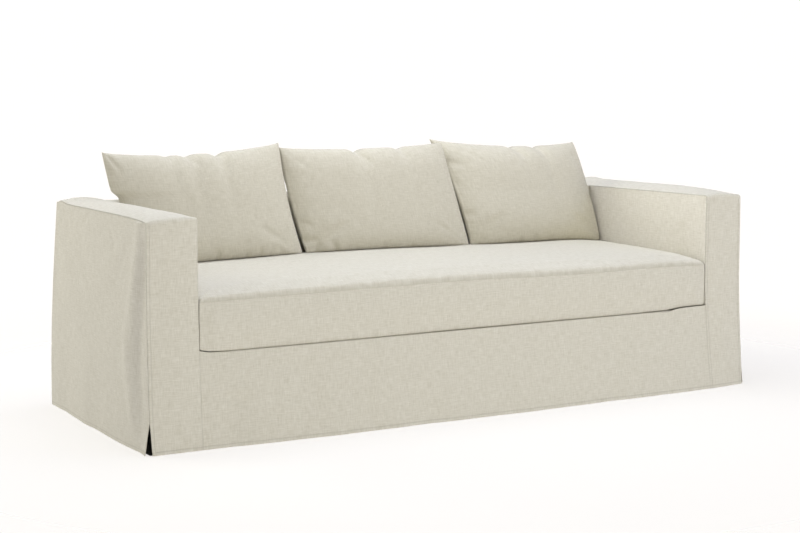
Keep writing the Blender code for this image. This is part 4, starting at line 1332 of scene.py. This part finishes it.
class SLIPCOVER_OT_stage(bpy.types.Operator):
    """Set the pale floor, the soft lights and the camera"""

    bl_idname = "slipcover.stage"
    bl_label = "Floor, Light and Camera"

    def execute(self, context):
        scene = context.scene
        stage = scene.slipcover_stage
        pale = Finish(bpy.data.materials.new("floor_paint"))
        pale.feed("Principled BSDF", {"Base Color": tint(stage.floor_colour), "Roughness": 0.9,
                                      "Specular IOR Level": 0.0})
        way = pale.node("ShaderNodeTexCoord", {}, {}, "Object")
        far = pale.node("ShaderNodeVectorMath", {"operation": "LENGTH"}, {0: way}, "Value")
        paint = Socket(pale.tree, pale.tree.nodes["Principled BSDF"].outputs[0])
        clear = pale.node("ShaderNodeBsdfTransparent", {}, {})
        share = smooth_fade(pale, far, 1.5, 3.0, FLOOR_CLEAR, 1.0)
        both = pale.node("ShaderNodeMixShader", {}, {0: share, 1: paint, 2: clear})
        pale.feed("Material Output", {"Surface": both})
        # Painted shade: the floor under the cover is a dark copy of the floor's colour, at 0.12 of it,
        # for the shaded hollow inside the cover that shows through the vents.
        painted_shade = Finish(bpy.data.materials.new("covered_floor_paint"))
        painted_shade.feed("Principled BSDF", {"Base Color": tint(stage.floor_colour, 0.12),
                                         "Roughness": 0.9})
        lay_floor("floor", 3.2, 3.2, -0.0006, pale.owner)
        lay_floor("covered_floor", 1.155, 0.438, -0.0003, painted_shade.owner)

        room = Finish(bpy.data.worlds.new("room"))
        scene.world = room.owner
        up = room.parts(room.node("ShaderNodeTexCoord", {}, {}, "Generated"))[2]
        walls = smooth_fade(room, up, 0.12, 0.30, stage.walls, stage.dome)
        room.feed("Background", {"Color": (1.06, 1.03, 1.0, 1.0), "Strength": walls})
        for light in LIGHTS:
            hang_light(light, getattr(stage, light.power))

        camera = bpy.data.cameras.new("camera")
        camera.lens = stage.lens
        camera.sensor_width = 36.0
        seen = bpy.data.objects.new("camera", camera)
        scene.collection.objects.link(seen)
        seen.location = stage.camera_place
        seen.rotation_euler = (np.pi / 2 - stage.camera_dip, 0.0, -stage.camera_turn)
        scene.camera = seen
        scene.view_settings.view_transform = "Standard"
        return {"FINISHED"}


class SLIPCOVER_PT_panel(bpy.types.Panel):
    """The cover's settings, and a button for each group of its pieces"""

    bl_idname = "SLIPCOVER_PT_panel"
    bl_label = "Sofa Slipcover"
    bl_space_type = "VIEW_3D"
    bl_region_type = "UI"
    bl_category = "Slipcover"

    def draw(self, context):
        for settings in (context.scene.slipcover_look, context.scene.slipcover_stage):
            box = self.layout.box()
            for name in settings.__annotations__:
                box.prop(settings, name)
        for operator in OPERATORS:
            self.layout.operator(operator.bl_idname)


OPERATORS = (SLIPCOVER_OT_arms, SLIPCOVER_OT_front, SLIPCOVER_OT_back, SLIPCOVER_OT_seat_cushion,
             SLIPCOVER_OT_back_cushions, SLIPCOVER_OT_stage)
CLASSES = (SlipcoverLook, SlipcoverStage, *OPERATORS, SLIPCOVER_PT_panel)  # to be registered


def register():
    for made in CLASSES:
        bpy.utils.register_class(made)
    bpy.types.Scene.slipcover_look = PointerProperty(type=SlipcoverLook)
    bpy.types.Scene.slipcover_stage = PointerProperty(type=SlipcoverStage)


def unregister():
    del bpy.types.Scene.slipcover_stage
    del bpy.types.Scene.slipcover_look
    for made in reversed(CLASSES):
        bpy.utils.unregister_class(made)


def main():
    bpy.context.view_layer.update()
    register()
    bpy.ops.slipcover.arms()
    bpy.ops.slipcover.front()
    bpy.ops.slipcover.back()
    bpy.ops.slipcover.seat_cushion()
    bpy.ops.slipcover.back_cushions()
    bpy.ops.slipcover.stage()


if __name__ == "__main__":
    main()
